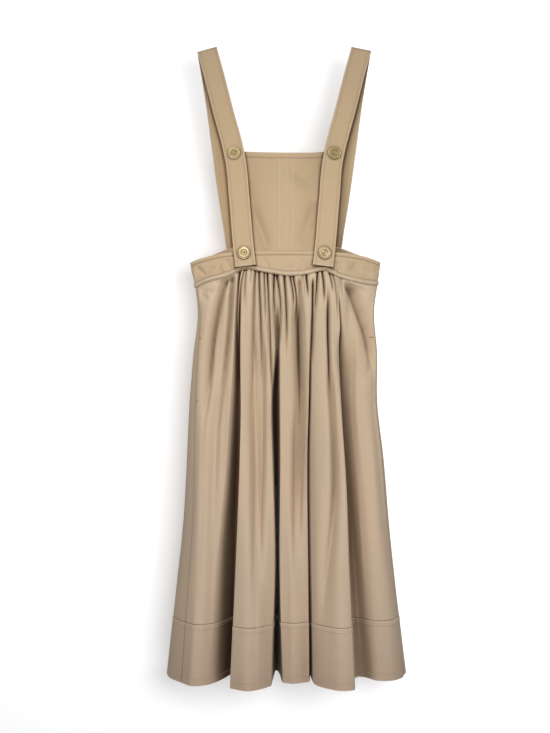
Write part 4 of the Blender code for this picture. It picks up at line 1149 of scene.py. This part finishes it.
# The buttons' turned outline. deep: how much dark oxide it holds; the upper buttons' dish also
# gets a painted dark reflection through it
BUTTON_OUTLINE = table(
    "radius rise deep",
    (0.01, 0, 0.9), (0.0118, 0.0002, 0.8), (0.01235, 0.00065, 0.5), (0.0125, 0.0012, 0.1),
    (0.0124, 0.0018, 0), (0.01205, 0.00235, 0), (0.01155, 0.00265, 0), (0.011, 0.00262, 0),
    (0.0106, 0.0023, 0.3), (0.01035, 0.00195, 0.8), (0.0101, 0.00182, 1), (0.00975, 0.00188, 0.5),
    (0.009, 0.002, 0), (0.0078, 0.00206, 0), (0.0068, 0.00204, 0), (0.00625, 0.0019, 0.4),
    (0.00595, 0.0016, 1), (0.0056, 0.00152, 1), (0.00525, 0.00162, 0.9), (0.00495, 0.002, 0.3),
    (0.0045, 0.00225, 0), (0.0038, 0.00232, 0), (0.003, 0.00218, 0.2), (0.0023, 0.00178, 0.8),
    (0.0017, 0.0015, 1), (0.0011, 0.00158, 0.8), (0.00055, 0.00172, 0.5),
)
BUTTON_SIDES = 72
BUTTON_MIDDLE = 0.00176
UPPER_DISH = 0.0100        # radius of the upper buttons' dish, painted darker as a painted reflection
# how far the upper buttons' dish is painted towards the groove colour
UPPER_DISH_PAINTED_DARK = 0.80


def button(name, side, place, thickness, finish):
    """A turned brass button that lies on its strap."""
    def on_strap(height, aside):
        return front_strap_point(side, np.array(height), np.array(aside))

    up = on_strap(place.height + BUTTON_SEAT, 0) - on_strap(place.height - BUTTON_SEAT, 0)
    right = unit(on_strap(place.height, BUTTON_SEAT) - on_strap(place.height, -BUTTON_SEAT))
    face = unit(np.cross(up, right) * -side)
    centre = on_strap(place.height, 0) + face * (thickness / 2 + BUTTON_CLEAR)
    angle = np.linspace(0, 2 * np.pi, BUTTON_SIDES, endpoint=False)[:, None]
    spoke = right * np.cos(angle) + np.cross(face, right) * np.sin(angle)
    rings = [centre + spoke * turn.radius + face * turn.rise for turn in BUTTON_OUTLINE]
    points = np.concatenate([*rings, [centre], [centre + face * BUTTON_MIDDLE]])
    back, middle = len(points) - 2, len(points) - 1
    last = back - BUTTON_SIDES
    turns = [(i, (i + 1) % BUTTON_SIDES) for i in range(BUTTON_SIDES)]
    faces = [(first + i, first + j, first + j + BUTTON_SIDES, first + i + BUTTON_SIDES)
             for first in range(0, last, BUTTON_SIDES) for i, j in turns]
    for i, j in turns:
        faces += [(j, i, back), (last + i, last + j, middle)]
    made = new_piece(name, points.tolist(), [], faces, finish)
    radius, _, deep = (np.repeat(column, BUTTON_SIDES) for column in zip(*BUTTON_OUTLINE))
    deep = np.append(deep, [1.0, BUTTON_OUTLINE[-1].deep])
    # Painted reflection: the upper buttons' dish is painted darker
    if place.name == "upper":
        dish = np.append(radius < UPPER_DISH, [False, True])
        deep = np.where(dish, np.maximum(deep, UPPER_DISH_PAINTED_DARK), deep)
    give(made, "deep", deep)
    return made


# Node trees

class Value:
    """A node's socket that takes part in sums."""

    def __init__(self, tree, socket):
        self.tree, self.socket = tree, socket

    def sum(self, operation, *others):
        sockets = dict(enumerate((self, *others)))
        return self.tree.node("ShaderNodeMath", {"operation": operation}, sockets)

    def __add__(self, other):
        return self.sum("ADD", other)

    def __mul__(self, other):
        return self.sum("MULTIPLY", other)

    def __sub__(self, other):
        return self.sum("SUBTRACT", other)

    def __rsub__(self, other):
        return self * -1 + other

    def sine(self):
        return self.sum("SINE")

    __radd__ = __add__
    __rmul__ = __mul__


class Tree:
    """A tree of nodes."""

    def __init__(self, tree):
        self.tree = tree
        tree.nodes.clear()

    def node(self, kind, settings=None, sockets=None, output=0):
        """Any node: its settings first, then the values or links of its sockets."""
        made = self.tree.nodes.new(kind)
        for name, value in (settings or {}).items():
            setattr(made, name, value)
        for name, value in (sockets or {}).items():
            if isinstance(value, Value):
                self.tree.links.new(value.socket, made.inputs[name])
            else:
                made.inputs[name].default_value = value
        return Value(self, made.outputs[output]) if made.outputs else None


# The stitching

class Stitches(Tree):
    """Geometry nodes that lay a stitch at every step along the lines of a mesh."""

    def __init__(self):
        super().__init__(bpy.data.node_groups.new("Stitches", "GeometryNodeTree"))
        for name, kind, way in (
                ("Lines", "Geometry", "INPUT"), ("Pitch", "Float", "INPUT"),
                ("Length", "Float", "INPUT"), ("Width", "Float", "INPUT"),
                ("Finish", "Material", "INPUT"), ("Stitches", "Geometry", "OUTPUT")):
            self.tree.interface.new_socket(name, in_out=way, socket_type="NodeSocket" + kind)
        lines, pitch, length, width, finish = (
            self.node("NodeGroupInput", output=i) for i in range(5))
        curve = self.node("GeometryNodeMeshToCurve", {}, {"Mesh": lines})
        steps = self.node("GeometryNodeResampleCurve", {"mode": "LENGTH"},
                          {"Curve": curve, "Length": pitch})
        ball = self.node("GeometryNodeMeshUVSphere", {},
                         {"Segments": 6, "Rings": 4, "Radius": 0.5})
        size = self.node("ShaderNodeCombineXYZ", {}, {"X": length, "Y": width, "Z": width})
        out = self.node("GeometryNodeInputNamedAttribute", {"data_type": "FLOAT_VECTOR"},
                        {"Name": "out"})
        turn = self.node("FunctionNodeAxesToRotation",
                         {"primary_axis": "Z", "secondary_axis": "X"},
                         {"Primary Axis": out,
                          "Secondary Axis": self.node("GeometryNodeInputTangent")})
        laid = self.node("GeometryNodeInstanceOnPoints", {},
                         {"Points": steps, "Instance": ball, "Rotation": turn, "Scale": size})
        real = self.node("GeometryNodeRealizeInstances", {}, {"Geometry": laid})
        smooth = self.node("GeometryNodeSetShadeSmooth", {}, {"Geometry": real})
        coloured = self.node("GeometryNodeSetMaterial", {},
                             {"Geometry": smooth, "Material": finish})
        self.node("NodeGroupOutput", {}, {"Stitches": coloured})

    def lay(self, name, rows, pitch, length, width, finish):
        """A mesh of stitches along rows, each a line and the direction out of the cloth."""
        points, outs, edges = [], [], []
        for line, out in rows:
            edges += [(len(points) + i, len(points) + i + 1) for i in range(len(line) - 1)]
            points += line.tolist()
            outs += out.tolist()
        lines = new_piece(name + "_lines", points, edges, [])
        give(lines, "out", np.array(outs), "FLOAT_VECTOR")
        modifier = lines.modifiers.new("Stitches", "NODES")
        modifier.node_group = self.tree
        values = {"Pitch": pitch, "Length": length, "Width": width, "Finish": finish}
        for item in self.tree.interface.items_tree:
            if item.in_out == "INPUT" and item.name in values:
                modifier[item.identifier] = values[item.name]
        graph = bpy.context.evaluated_depsgraph_get()
        mesh = bpy.data.meshes.new_from_object(lines.evaluated_get(graph), depsgraph=graph)
        bpy.data.objects.remove(lines)
        mesh.name = name
        return linked(name, mesh)


def hem_row(panel, fall, lift):
    """A row of stitches round the hem band."""
    gather = np.arange(panel.ends[0] + 0.05, panel.ends[1] - 0.04, ROW_GATHERS)
    fall = fall + 0 * gather
    middle, out = skirt_surface(gather, fall, panel)
    return middle + out * hem_look(fall)[1][..., None] + out * lift, out


def band_rows(panel, lift):
    """The waistband's rows: below its top edge and along its ridge."""
    turn = panel.first_turn - np.arange(0.6, 179.5, ROW_TURN)
    rows = []
    for below in (BAND_TOP_ROW + 0 * turn, *(band_width(turn) - row for row in RIDGE_ROWS)):
        middle, out, _ = band_surface(turn, below, panel.band_marks)
        rows.append((middle + out * lift, out))
    return rows


def strap_rows(side, thickness):
    """Both rows of a strap, on its outer and its inner face."""
    row = STRAP_HALF - STRAP_ROW
    asides = np.array([-row - 0.001, -row, row, row + 0.001])
    middle, out, run, edge = strap_surface(side, asides)
    inside = (run[:, 0] > ROW_STARTS) & (run[:, 0] < run[-1, 0] - ROW_ENDS)
    half = strap_thick(edge, run, thickness)[..., None] / 2 + ON_CLOTH
    return [(middle[inside, column] + out[inside, column] * way * half[inside, column],
             out[inside, column] * way) for column in (1, 2) for way in (1, -1)]


def bib_rows(side, thickness):
    """The bib's rows: under the turned top edge, beside the centre seam and, once, on it."""
    lift = FORWARD * (thickness / 2 + ON_CLOTH)
    share = np.linspace(0.015, 0.97, 60)
    rise = 1 - BIB_HEM / (BIB_TOP - top_height(np.array(90.0)))
    top = bib_surface(side, share, rise + 0 * share)[0]
    rows = [(top + lift, FORWARD + 0 * top)]
    down = np.linspace(0.004, rise, 90)
    half = mix(BIB_FOOT_HALF, BIB_TOP_HALF, down)
    for aside in (BIB_CENTRE_ROW, BIB_ROW_ASIDE) if side > 0 else (BIB_ROW_ASIDE,):
        line = bib_surface(side, aside / half, down)[0]
        rows.append((line + lift + FORWARD * BIB_ROW_LIFT, FORWARD + 0 * line))
    return rows


def tack_rows(thickness):
    """Bar tacks at the ends of both pocket openings."""
    rows = []
    for gather, way in zip(POCKET_GATHERS, (1, -1)):
        places = gather + way * np.linspace(*TACK_REACH, 5)
        for fall in POCKET_TACKS:
            for thread in range(TACK_THREADS):
                falls = fall + (thread - (TACK_THREADS - 1) / 2) * TACK_STEP + 0 * places
                middle, out = skirt_surface(places, falls, FRONT)
                rows.append((middle + out * (thickness / 2 + TACK_LIFT), out))
    return rows


# Finishes

class Finish(Tree):
    """A material built from nodes."""

    def __init__(self, name):
        self.material = bpy.data.materials.new(name)
        self.material.use_nodes = True
        super().__init__(self.material.node_tree)

    def body(self):
        return self.node("ShaderNodeTexCoord", output="Object")

    def attribute(self, name, output="Fac"):
        return self.node("ShaderNodeAttribute", {"attribute_name": name}, output=output)

    def noise(self, place, scale, detail=3.0, roughness=0.5):
        return self.node("ShaderNodeTexNoise", {"noise_dimensions": "3D"},
                         {"Vector": place, "Scale": scale, "Detail": detail,
                          "Roughness": roughness})

    def part(self, vector, axis):
        return self.node("ShaderNodeSeparateXYZ", {}, {0: vector}, output=axis)

    def lower(self, height, start, end):
        """0 above the height start and 1 below the height end."""
        return self.node("ShaderNodeMapRange", {},
                         {"Value": height, "From Min": start, "From Max": end})

    def blend(self, factor, a, b):
        return self.node("ShaderNodeMix", {"data_type": "RGBA"}, {0: factor, 6: a, 7: b},
                         output=2)

    def tinted(self, shade, tint):
        return self.node("ShaderNodeVectorMath", {"operation": "MULTIPLY"}, {0: shade, 1: tint})

    def scaled(self, shade, factor):
        return self.node("ShaderNodeVectorMath", {"operation": "SCALE"},
                         {0: shade, "Scale": factor})

    def relief(self, height, strength, distance):
        return self.node("ShaderNodeBump", {},
                         {"Strength": strength, "Distance": distance, "Height": height})

    def end(self, surface):
        self.node("ShaderNodeOutputMaterial", {}, {"Surface": surface})
        return self.material

    def finish(self, **sockets):
        named = {name.replace("_", " "): value for name, value in sockets.items()}
        return self.end(self.node("ShaderNodeBsdfPrincipled", {}, named))


def opaque(colour):
    return (*colour, 1.0)


TWILL_RIB = 0.00095
TWILL_YARN = 0.00042
LOW_TWILL = (-0.38, -0.54)     # heights between which the twill takes its lower colour
HEM_TWILL = (-0.62, -1.20)     # and between which it takes on its tint near the hem
HEM_TINT = (0.99, 0.995, 1.055)
WARM_TINT = (1.02, 0.985, 0.96)
# The brown that painted shade tints the twill towards, in folds, seams and rows
PAINTED_FOLD_SHADE = (0.170, 0.074, 0.022)


def twill_finish(name, colour, low_colour, worn_colour):
    """Cotton twill: slanting ribs, a soft sheen, and paler edges where it is folded hard, with
    painted highlight on the gathers' crests and painted shade in folds, seams and rows and beside
    the straps and buttons.
    """
    finish = Finish(name)
    place, body = finish.attribute("cloth", "Vector"), finish.body()
    along, down, height = finish.part(place, 0), finish.part(place, 1), finish.part(body, 2)
    rib = ((along * 0.87 + down * 0.5) * (2 * math.pi / TWILL_RIB)).sine()
    yarn = (down * (2 * math.pi / TWILL_YARN)).sine()
    slub, fuzz = finish.noise(place, 900.0, 2.0), finish.noise(place, 2600.0, 2.0)
    cast, mottle = finish.noise(body, 5.0, 2.0), finish.noise(body, 38.0, 4.0, 0.6)
    shade = (cast - 0.5) * 0.10 + (mottle - 0.5) * 0.07 + (slub - 0.5) * 0.07 + rib * 0.018 + 1.0
    here = finish.blend(finish.lower(height, *LOW_TWILL), opaque(colour), opaque(low_colour))
    here = finish.blend(finish.lower(height, *HEM_TWILL), here, finish.tinted(here, HEM_TINT))
    warm = finish.blend((cast - 0.45) * 2.0 + 0.4, here, finish.tinted(here, WARM_TINT))
    # Paler where edges are folded hard, and painted highlight on the gathers' crests
    edged = finish.blend(finish.attribute("worn") * ((mottle - 0.5) * 0.8 + 0.55),
                         finish.scaled(warm, shade), opaque(worn_colour))
    # Painted shade: the colour is darkened towards a brown where little light is painted
    edged = finish.blend(finish.attribute("open"), finish.tinted(here, PAINTED_FOLD_SHADE), edged)
    relief = rib * 0.5 + yarn * 0.22 + (slub - 0.5) * 1.2 + (fuzz - 0.5) * 0.8
    return finish.finish(
        Base_Color=edged, Roughness=(mottle - 0.5) * 0.10 + 0.74,
        Normal=finish.relief(relief, 0.35, 0.00012), Sheen_Weight=0.11, Sheen_Roughness=0.45,
        Sheen_Tint=(1.0, 0.93, 0.82, 1.0), Specular_IOR_Level=0.14)


def thread_finish(name, colour):
    """Sewing thread."""
    finish = Finish(name)
    shade = (finish.noise(finish.body(), 1800.0, 2.0) - 0.5) * 0.25 + 1.0
    return finish.finish(Base_Color=finish.scaled(colour, shade), Roughness=0.6,
                         Sheen_Weight=0.2)


def brass_finish(name, colour, deep_colour):
    """Pale brass, turned, with dark oxide in its grooves and a painted dark reflection in the dish
    of the upper buttons.
    """
    finish = Finish(name)
    body, deep = finish.body(), finish.attribute("deep")
    patch = finish.noise(body, 160.0)
    base = finish.blend((patch - 0.5) * 0.5 + deep * 0.85, opaque(colour), opaque(deep_colour))
    return finish.finish(
        Base_Color=base, Metallic=0.8, Roughness=(patch - 0.5) * 0.14 + deep * 0.12 + 0.40,
        Normal=finish.relief(finish.noise(body, 1400.0), 0.25, 0.00005))


def white_finish(name, colour):
    """The floor's plain white."""
    return Finish(name).finish(Base_Color=opaque(colour), Roughness=0.9, Specular_IOR_Level=0.1)


def one_sided_finish(name, colour):
    """A white that shows on its front alone, so that the backdrop hides nothing."""
    finish = Finish(name)
    seen = finish.node("ShaderNodeNewGeometry", output="Backfacing")
    white = finish.node("ShaderNodeBsdfDiffuse", {}, {"Color": opaque(colour)})
    clear = finish.node("ShaderNodeBsdfTransparent")
    return finish.end(finish.node("ShaderNodeMixShader", {}, {0: seen, 1: white, 2: clear}))


def found_finish(name, make, *colours):
    """A finish, made the first time that it is asked for."""
    return bpy.data.materials.get(name) or make(name, *(tuple(colour) for colour in colours))


# Settings

def length(label, text, default):
    return bpy.props.FloatProperty(name=label, description=text, default=default, min=0.0,
                                   precision=5, unit="LENGTH")


def colour(label, text, default):
    return bpy.props.FloatVectorProperty(name=label, description=text, default=default, size=3,
                                         min=0.0, max=1.0, subtype="COLOR")


def strength(label, text, default):
    return bpy.props.FloatProperty(name=label, description=text, default=default, min=0.0)


class PinaforeSizes(bpy.types.PropertyGroup):
    """Thicknesses and stitch sizes."""

    skirt_cloth: length("Skirt cloth", "Thickness of one layer of twill", 0.0016)
    hem_cloth: length("Hem cloth", "Thickness of the doubled hem band", 0.0022)
    bib_cloth: length("Bib cloth", "Thickness of the bib", 0.0020)
    band_cloth: length("Waistband cloth", "Thickness of the stiffened waistband", 0.0026)
    strap_cloth: length("Strap cloth", "Thickness of a strap", STRAP_CLOTH)
    pitch: length("Stitch pitch", "Distance from one stitch to the next", 0.0034)
    stitch: length("Stitch length", "Length of a stitch that shows", 0.0026)
    thread: length("Thread width", "Width of the sewing thread", 0.00075)
    hem_thread: length("Hem thread width", "Width of the hem band's thread", 0.00100)


class PinaforeLooks(bpy.types.PropertyGroup):
    """Colours."""

    cloth: colour("Twill", "Colour of the twill", (0.516, 0.385, 0.238))
    low_cloth: colour("Twill below", "Colour of the twill down the skirt",
                      (0.514, 0.397, 0.276))
    # also the colour of the painted highlight on the gathers' crests
    worn: colour("Folded edges", "Colour of edges that are folded hard", (0.67, 0.545, 0.40))
    thread: colour("Thread", "Colour of the topstitching", (0.78, 0.64, 0.47))
    band_thread: colour("Waistband thread", "Colour of the waistband's stitching",
                        (0.36, 0.26, 0.16))
    hem_thread: colour("Hem thread", "Colour of the hem band's stitching", (0.76, 0.64, 0.50))
    brass: colour("Brass", "Colour of the buttons", (0.52, 0.41, 0.235))
    # also the colour of the painted dark reflection in the upper buttons' dish
    tarnish_and_dark_dish: colour("Tarnish", "Colour in the buttons' grooves", (0.22, 0.175, 0.07))


class PinaforeStage(bpy.types.PropertyGroup):
    """Floor, backdrop and lights."""

    floor: bpy.props.FloatProperty(
        name="Floor", description="Height of the floor", default=-1.37, unit="LENGTH")
    wall: length("Backdrop", "How far behind the shoulder line the backdrop stands", 0.135)
    room_light: strength("Room light", "Strength of the even light", 0.18)
    lamps: strength("Lamps", "Strength of the lamps", 1.0)


def placed(piece, node):
    """Puts a finished piece on the body, in the place of its solid."""
    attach(piece, "root")
    if node:
        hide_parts(node)


def settings(scene):
    """The sizes, and the twill that all the cloth is made of."""
    looks = scene.pinafore_looks
    return scene.pinafore_sizes, found_finish(
        "twill", twill_finish, looks.cloth, looks.low_cloth, looks.worn)


class PINAFORE_OT_skirt(bpy.types.Operator):
    """Makes the gathered front and back of the skirt"""

    bl_idname = "pinafore.skirt"
    bl_label = "Skirt"

    def execute(self, context):
        sizes, twill = settings(context.scene)
        for panel, flat, area in zip(PANELS, ((1.03, 0.66), (0.82, 0.66)), (0.475, 0.425)):
            node = "skirt_" + panel.side
            piece = cloth_panel(node + "_cloth", panel, SKIRT_FALLS, skirt_look,
                                sizes.skirt_cloth, twill)
            placed(piece, node)
        return {"FINISHED"}


class PINAFORE_OT_hem(bpy.types.Operator):
    """Makes the deep band round the foot of the skirt"""

    bl_idname = "pinafore.hem"
    bl_label = "Hem Band"

    def execute(self, context):
        sizes, twill = settings(context.scene)
        for panel, flat in zip(PANELS, ((1.144, 0.112), (0.915, 0.112))):
            node = "hem_band_" + panel.side
            piece = cloth_panel(node + "_cloth", panel, HEM_FALLS, hem_look, sizes.hem_cloth,
                                twill)
            placed(piece, node)
        return {"FINISHED"}


class PINAFORE_OT_waistband(bpy.types.Operator):
    """Makes the shaped waistband"""

    bl_idname = "pinafore.waistband"
    bl_label = "Waistband"

    def execute(self, context):
        sizes, twill = settings(context.scene)
        for panel in PANELS:
            node = "waistband_" + panel.side
            piece = waistband(node + "_cloth", panel, sizes.band_cloth, twill)
            placed(piece, node)
        return {"FINISHED"}


class PINAFORE_OT_bib(bpy.types.Operator):
    """Makes both halves of the bib"""

    bl_idname = "pinafore.bib"
    bl_label = "Bib"

    def execute(self, context):
        sizes, twill = settings(context.scene)
        for label, side in SIDES:
            node = "bib_" + label
            piece = bib_half(node + "_cloth", side, sizes.bib_cloth, twill)
            placed(piece, node)
        return {"FINISHED"}


class PINAFORE_OT_straps(bpy.types.Operator):
    """Makes both straps"""

    bl_idname = "pinafore.straps"
    bl_label = "Straps"

    def execute(self, context):
        sizes, twill = settings(context.scene)
        for label, side in SIDES:
            node = "strap_" + label
            piece = strap(node + "_cloth", side, sizes.strap_cloth, twill)
            placed(piece, node)
        return {"FINISHED"}


class PINAFORE_OT_buttons(bpy.types.Operator):
    """Makes the four brass buttons"""

    bl_idname = "pinafore.buttons"
    bl_label = "Buttons"

    def execute(self, context):
        looks = context.scene.pinafore_looks
        brass = found_finish("brass", brass_finish, looks.brass, looks.tarnish_and_dark_dish)
        thickness = context.scene.pinafore_sizes.strap_cloth
        for label, side in SIDES:
            for place in BUTTONS:
                node = f"button_{place.name}_{label}"
                placed(button(node + "_brass", side, place, thickness, brass), node)
        return {"FINISHED"}


class PINAFORE_OT_stitches(bpy.types.Operator):
    """Lays the topstitching"""

    bl_idname = "pinafore.stitches"
    bl_label = "Stitches"

    def execute(self, context):
        sizes, looks = context.scene.pinafore_sizes, context.scene.pinafore_looks
        thread = found_finish("thread", thread_finish, looks.thread)
        dark = found_finish("dark_thread", thread_finish, looks.band_thread)
        pale = found_finish("pale_thread", thread_finish, looks.hem_thread)
        band, hems, hem_rows, straps, bib = [], [], [], [], []
        lift = sizes.hem_cloth / 2 + 2 * ON_CLOTH
        for panel in PANELS:
            band += band_rows(panel, sizes.band_cloth / 2 + 2 * ON_CLOTH)
            hems += [hem_row(panel, HEM_FALL + row / DROP, lift) for row in HEM_TOP_ROWS]
            hem_rows.append(hem_row(panel, 1 - HEM_FOOT_ROW / DROP, lift))
        for _, side in SIDES:
            straps += strap_rows(side, sizes.strap_cloth)
            bib += bib_rows(side, sizes.bib_cloth)
        tacks = tack_rows(sizes.skirt_cloth)
        pitch, stitch, width = sizes.pitch, sizes.stitch, sizes.thread
        tree = Stitches()
        for name, rows, *how in (
                ("waistband_stitches", band, pitch, stitch * BAND_STITCH, width, dark),
                ("hem_band_stitches", hems, pitch * HEM_BAND_PITCH, stitch * HEM_BAND_STITCH,
                 sizes.hem_thread, pale),
                ("hem_stitches", hem_rows, pitch * HEM_PITCH, stitch, width, thread),
                ("strap_stitches", straps, pitch, stitch, width, thread),
                ("bib_stitches", bib, pitch, stitch, width, thread),
                ("pocket_tacks", tacks, TACK_PITCH, TACK_STITCH, TACK_WIDTH, dark)):
            placed(tree.lay(name, rows, *how), None)
        return {"FINISHED"}


# The stage
WHITE = (0.98, 0.98, 0.99)
FLOOR_CORNERS = ((-5, -6), (5, -6), (5, 5), (-5, 5))
WALL_HALF_WIDTH = 1.5
WALL_TOP = 0.9
CAMERA_PLACE = (-0.023, -2.43, -0.607)
CAMERA_LENS = 82.84
CAMERA_SENSOR = 36.0

# The lamps. aim: the height it points at; spread: degrees; on_stage: it lights the stage
# alone; shades: it casts shadows
LAMPS = table(
    "name place width height power aim spread on_stage shades",
    ("key", (0.6, -2.4, -0.4), 1.25, 0.85, 42, -0.6, 180, True, True),
    ("wash", (0, -2.6, 0.3), 2, 2, 36, -0.6, 180, True, False),
    ("front", (-0.45, -1.8, 0.45), 1.1, 0.9, 4.95, -0.77, 65, False, True),
    ("side", (1.2, -1.6, -0.3), 1, 1.2, 2.7, -0.7, 90, False, True),
    ("behind", (0.9, 2.8, 0.6), 1.3, 1.3, 80, -0.6, 180, False, True),
)


def lamp(row, share, stage):
    """A large lamp that lights either the stage or all but the stage."""
    light = bpy.data.lights.new(row.name, "AREA")
    light.shape, light.size, light.size_y = "RECTANGLE", row.width, row.height
    light.energy, light.spread = row.power * share, math.radians(row.spread)
    light.use_shadow = row.shades
    lit = linked(row.name, light)
    lit.location = row.place
    aim = Vector((0.0, 0.0, row.aim))
    lit.rotation_euler = (aim - lit.location).to_track_quat("-Z", "Y").to_euler()
    group = bpy.data.collections.new(row.name + " lights")
    for piece in stage:
        group.objects.link(piece)
    if not row.on_stage:
        for entry in group.collection_objects:
            entry.light_linking.link_state = "EXCLUDE"
    lit.light_linking.receiver_collection = group


def room_world(scene, strength):
    """Even light from all round, in front of plain white."""
    scene.world = bpy.data.worlds.new("room")
    scene.world.use_nodes = True
    tree = Tree(scene.world.node_tree)
    seen = tree.node("ShaderNodeLightPath", output="Is Camera Ray")
    light = tree.node("ShaderNodeBackground", {},
                      {"Color": (0.96, 0.98, 1.0, 1.0), "Strength": strength})
    white = tree.node("ShaderNodeBackground", {}, {"Color": (1.0, 1.0, 1.0, 1.0)})
    both = tree.node("ShaderNodeMixShader", {}, {0: seen, 1: light, 2: white})
    tree.node("ShaderNodeOutputWorld", {}, {"Surface": both})


class PINAFORE_OT_stage(bpy.types.Operator):
    """Makes the floor, backdrop, lamps and camera"""

    bl_idname = "pinafore.stage"
    bl_label = "Stage"

    def execute(self, context):
        scene = context.scene
        setup = scene.pinafore_stage
        floor = new_piece("floor", [(x, y, setup.floor) for x, y in FLOOR_CORNERS],
                          [], [(0, 1, 2, 3)], white_finish("backdrop_white", WHITE))
        corners = [(way * WALL_HALF_WIDTH, setup.wall, height) for way, height in (
            (-1, setup.floor), (1, setup.floor), (1, WALL_TOP), (-1, WALL_TOP))]
        wall = new_piece("backdrop", corners, [], [(0, 1, 2, 3)],
                         one_sided_finish("one_sided_white", WHITE))
        wall.visible_diffuse = wall.visible_glossy = wall.visible_shadow = False
        room_world(scene, setup.room_light)
        for row in LAMPS:
            lamp(row, setup.lamps, (floor, wall))
        camera = bpy.data.cameras.new("camera")
        camera.sensor_fit, camera.sensor_width = "HORIZONTAL", CAMERA_SENSOR
        camera.lens = CAMERA_LENS
        eye = linked("camera", camera)
        eye.location, eye.rotation_euler = CAMERA_PLACE, (math.pi / 2, 0, 0)
        scene.camera = eye
        scene.view_settings.view_transform = "Standard"
        scene.view_settings.look = "None"
        return {"FINISHED"}


OPERATORS = (PINAFORE_OT_skirt, PINAFORE_OT_hem, PINAFORE_OT_waistband, PINAFORE_OT_bib,
             PINAFORE_OT_straps, PINAFORE_OT_buttons, PINAFORE_OT_stitches, PINAFORE_OT_stage)
GROUPS = {"pinafore_sizes": PinaforeSizes, "pinafore_looks": PinaforeLooks,
          "pinafore_stage": PinaforeStage}


class PINAFORE_PT_panel(bpy.types.Panel):
    """Lists the dress's settings and makers"""

    bl_label = "Pinafore Dress"
    bl_idname = "PINAFORE_PT_panel"
    bl_space_type = "VIEW_3D"
    bl_region_type = "UI"
    bl_category = "Pinafore"

    def draw(self, context):
        for name, group in GROUPS.items():
            box = self.layout.box()
            for setting in group.__annotations__:
                box.prop(getattr(context.scene, name), setting)
        for operator in OPERATORS:
            self.layout.operator(operator.bl_idname)


CLASSES = (*GROUPS.values(), *OPERATORS, PINAFORE_PT_panel)


def register():
    for kind in CLASSES:
        bpy.utils.register_class(kind)
    for name, group in GROUPS.items():
        setattr(bpy.types.Scene, name, bpy.props.PointerProperty(type=group))


def unregister():
    for name in GROUPS:
        delattr(bpy.types.Scene, name)
    for kind in reversed(CLASSES):
        bpy.utils.unregister_class(kind)


def main():
    register()
    bpy.ops.pinafore.skirt()
    bpy.ops.pinafore.hem()
    bpy.ops.pinafore.waistband()
    bpy.ops.pinafore.bib()
    bpy.ops.pinafore.straps()
    bpy.ops.pinafore.buttons()
    bpy.ops.pinafore.stitches()
    bpy.ops.pinafore.stage()


if __name__ == "__main__":
    main()
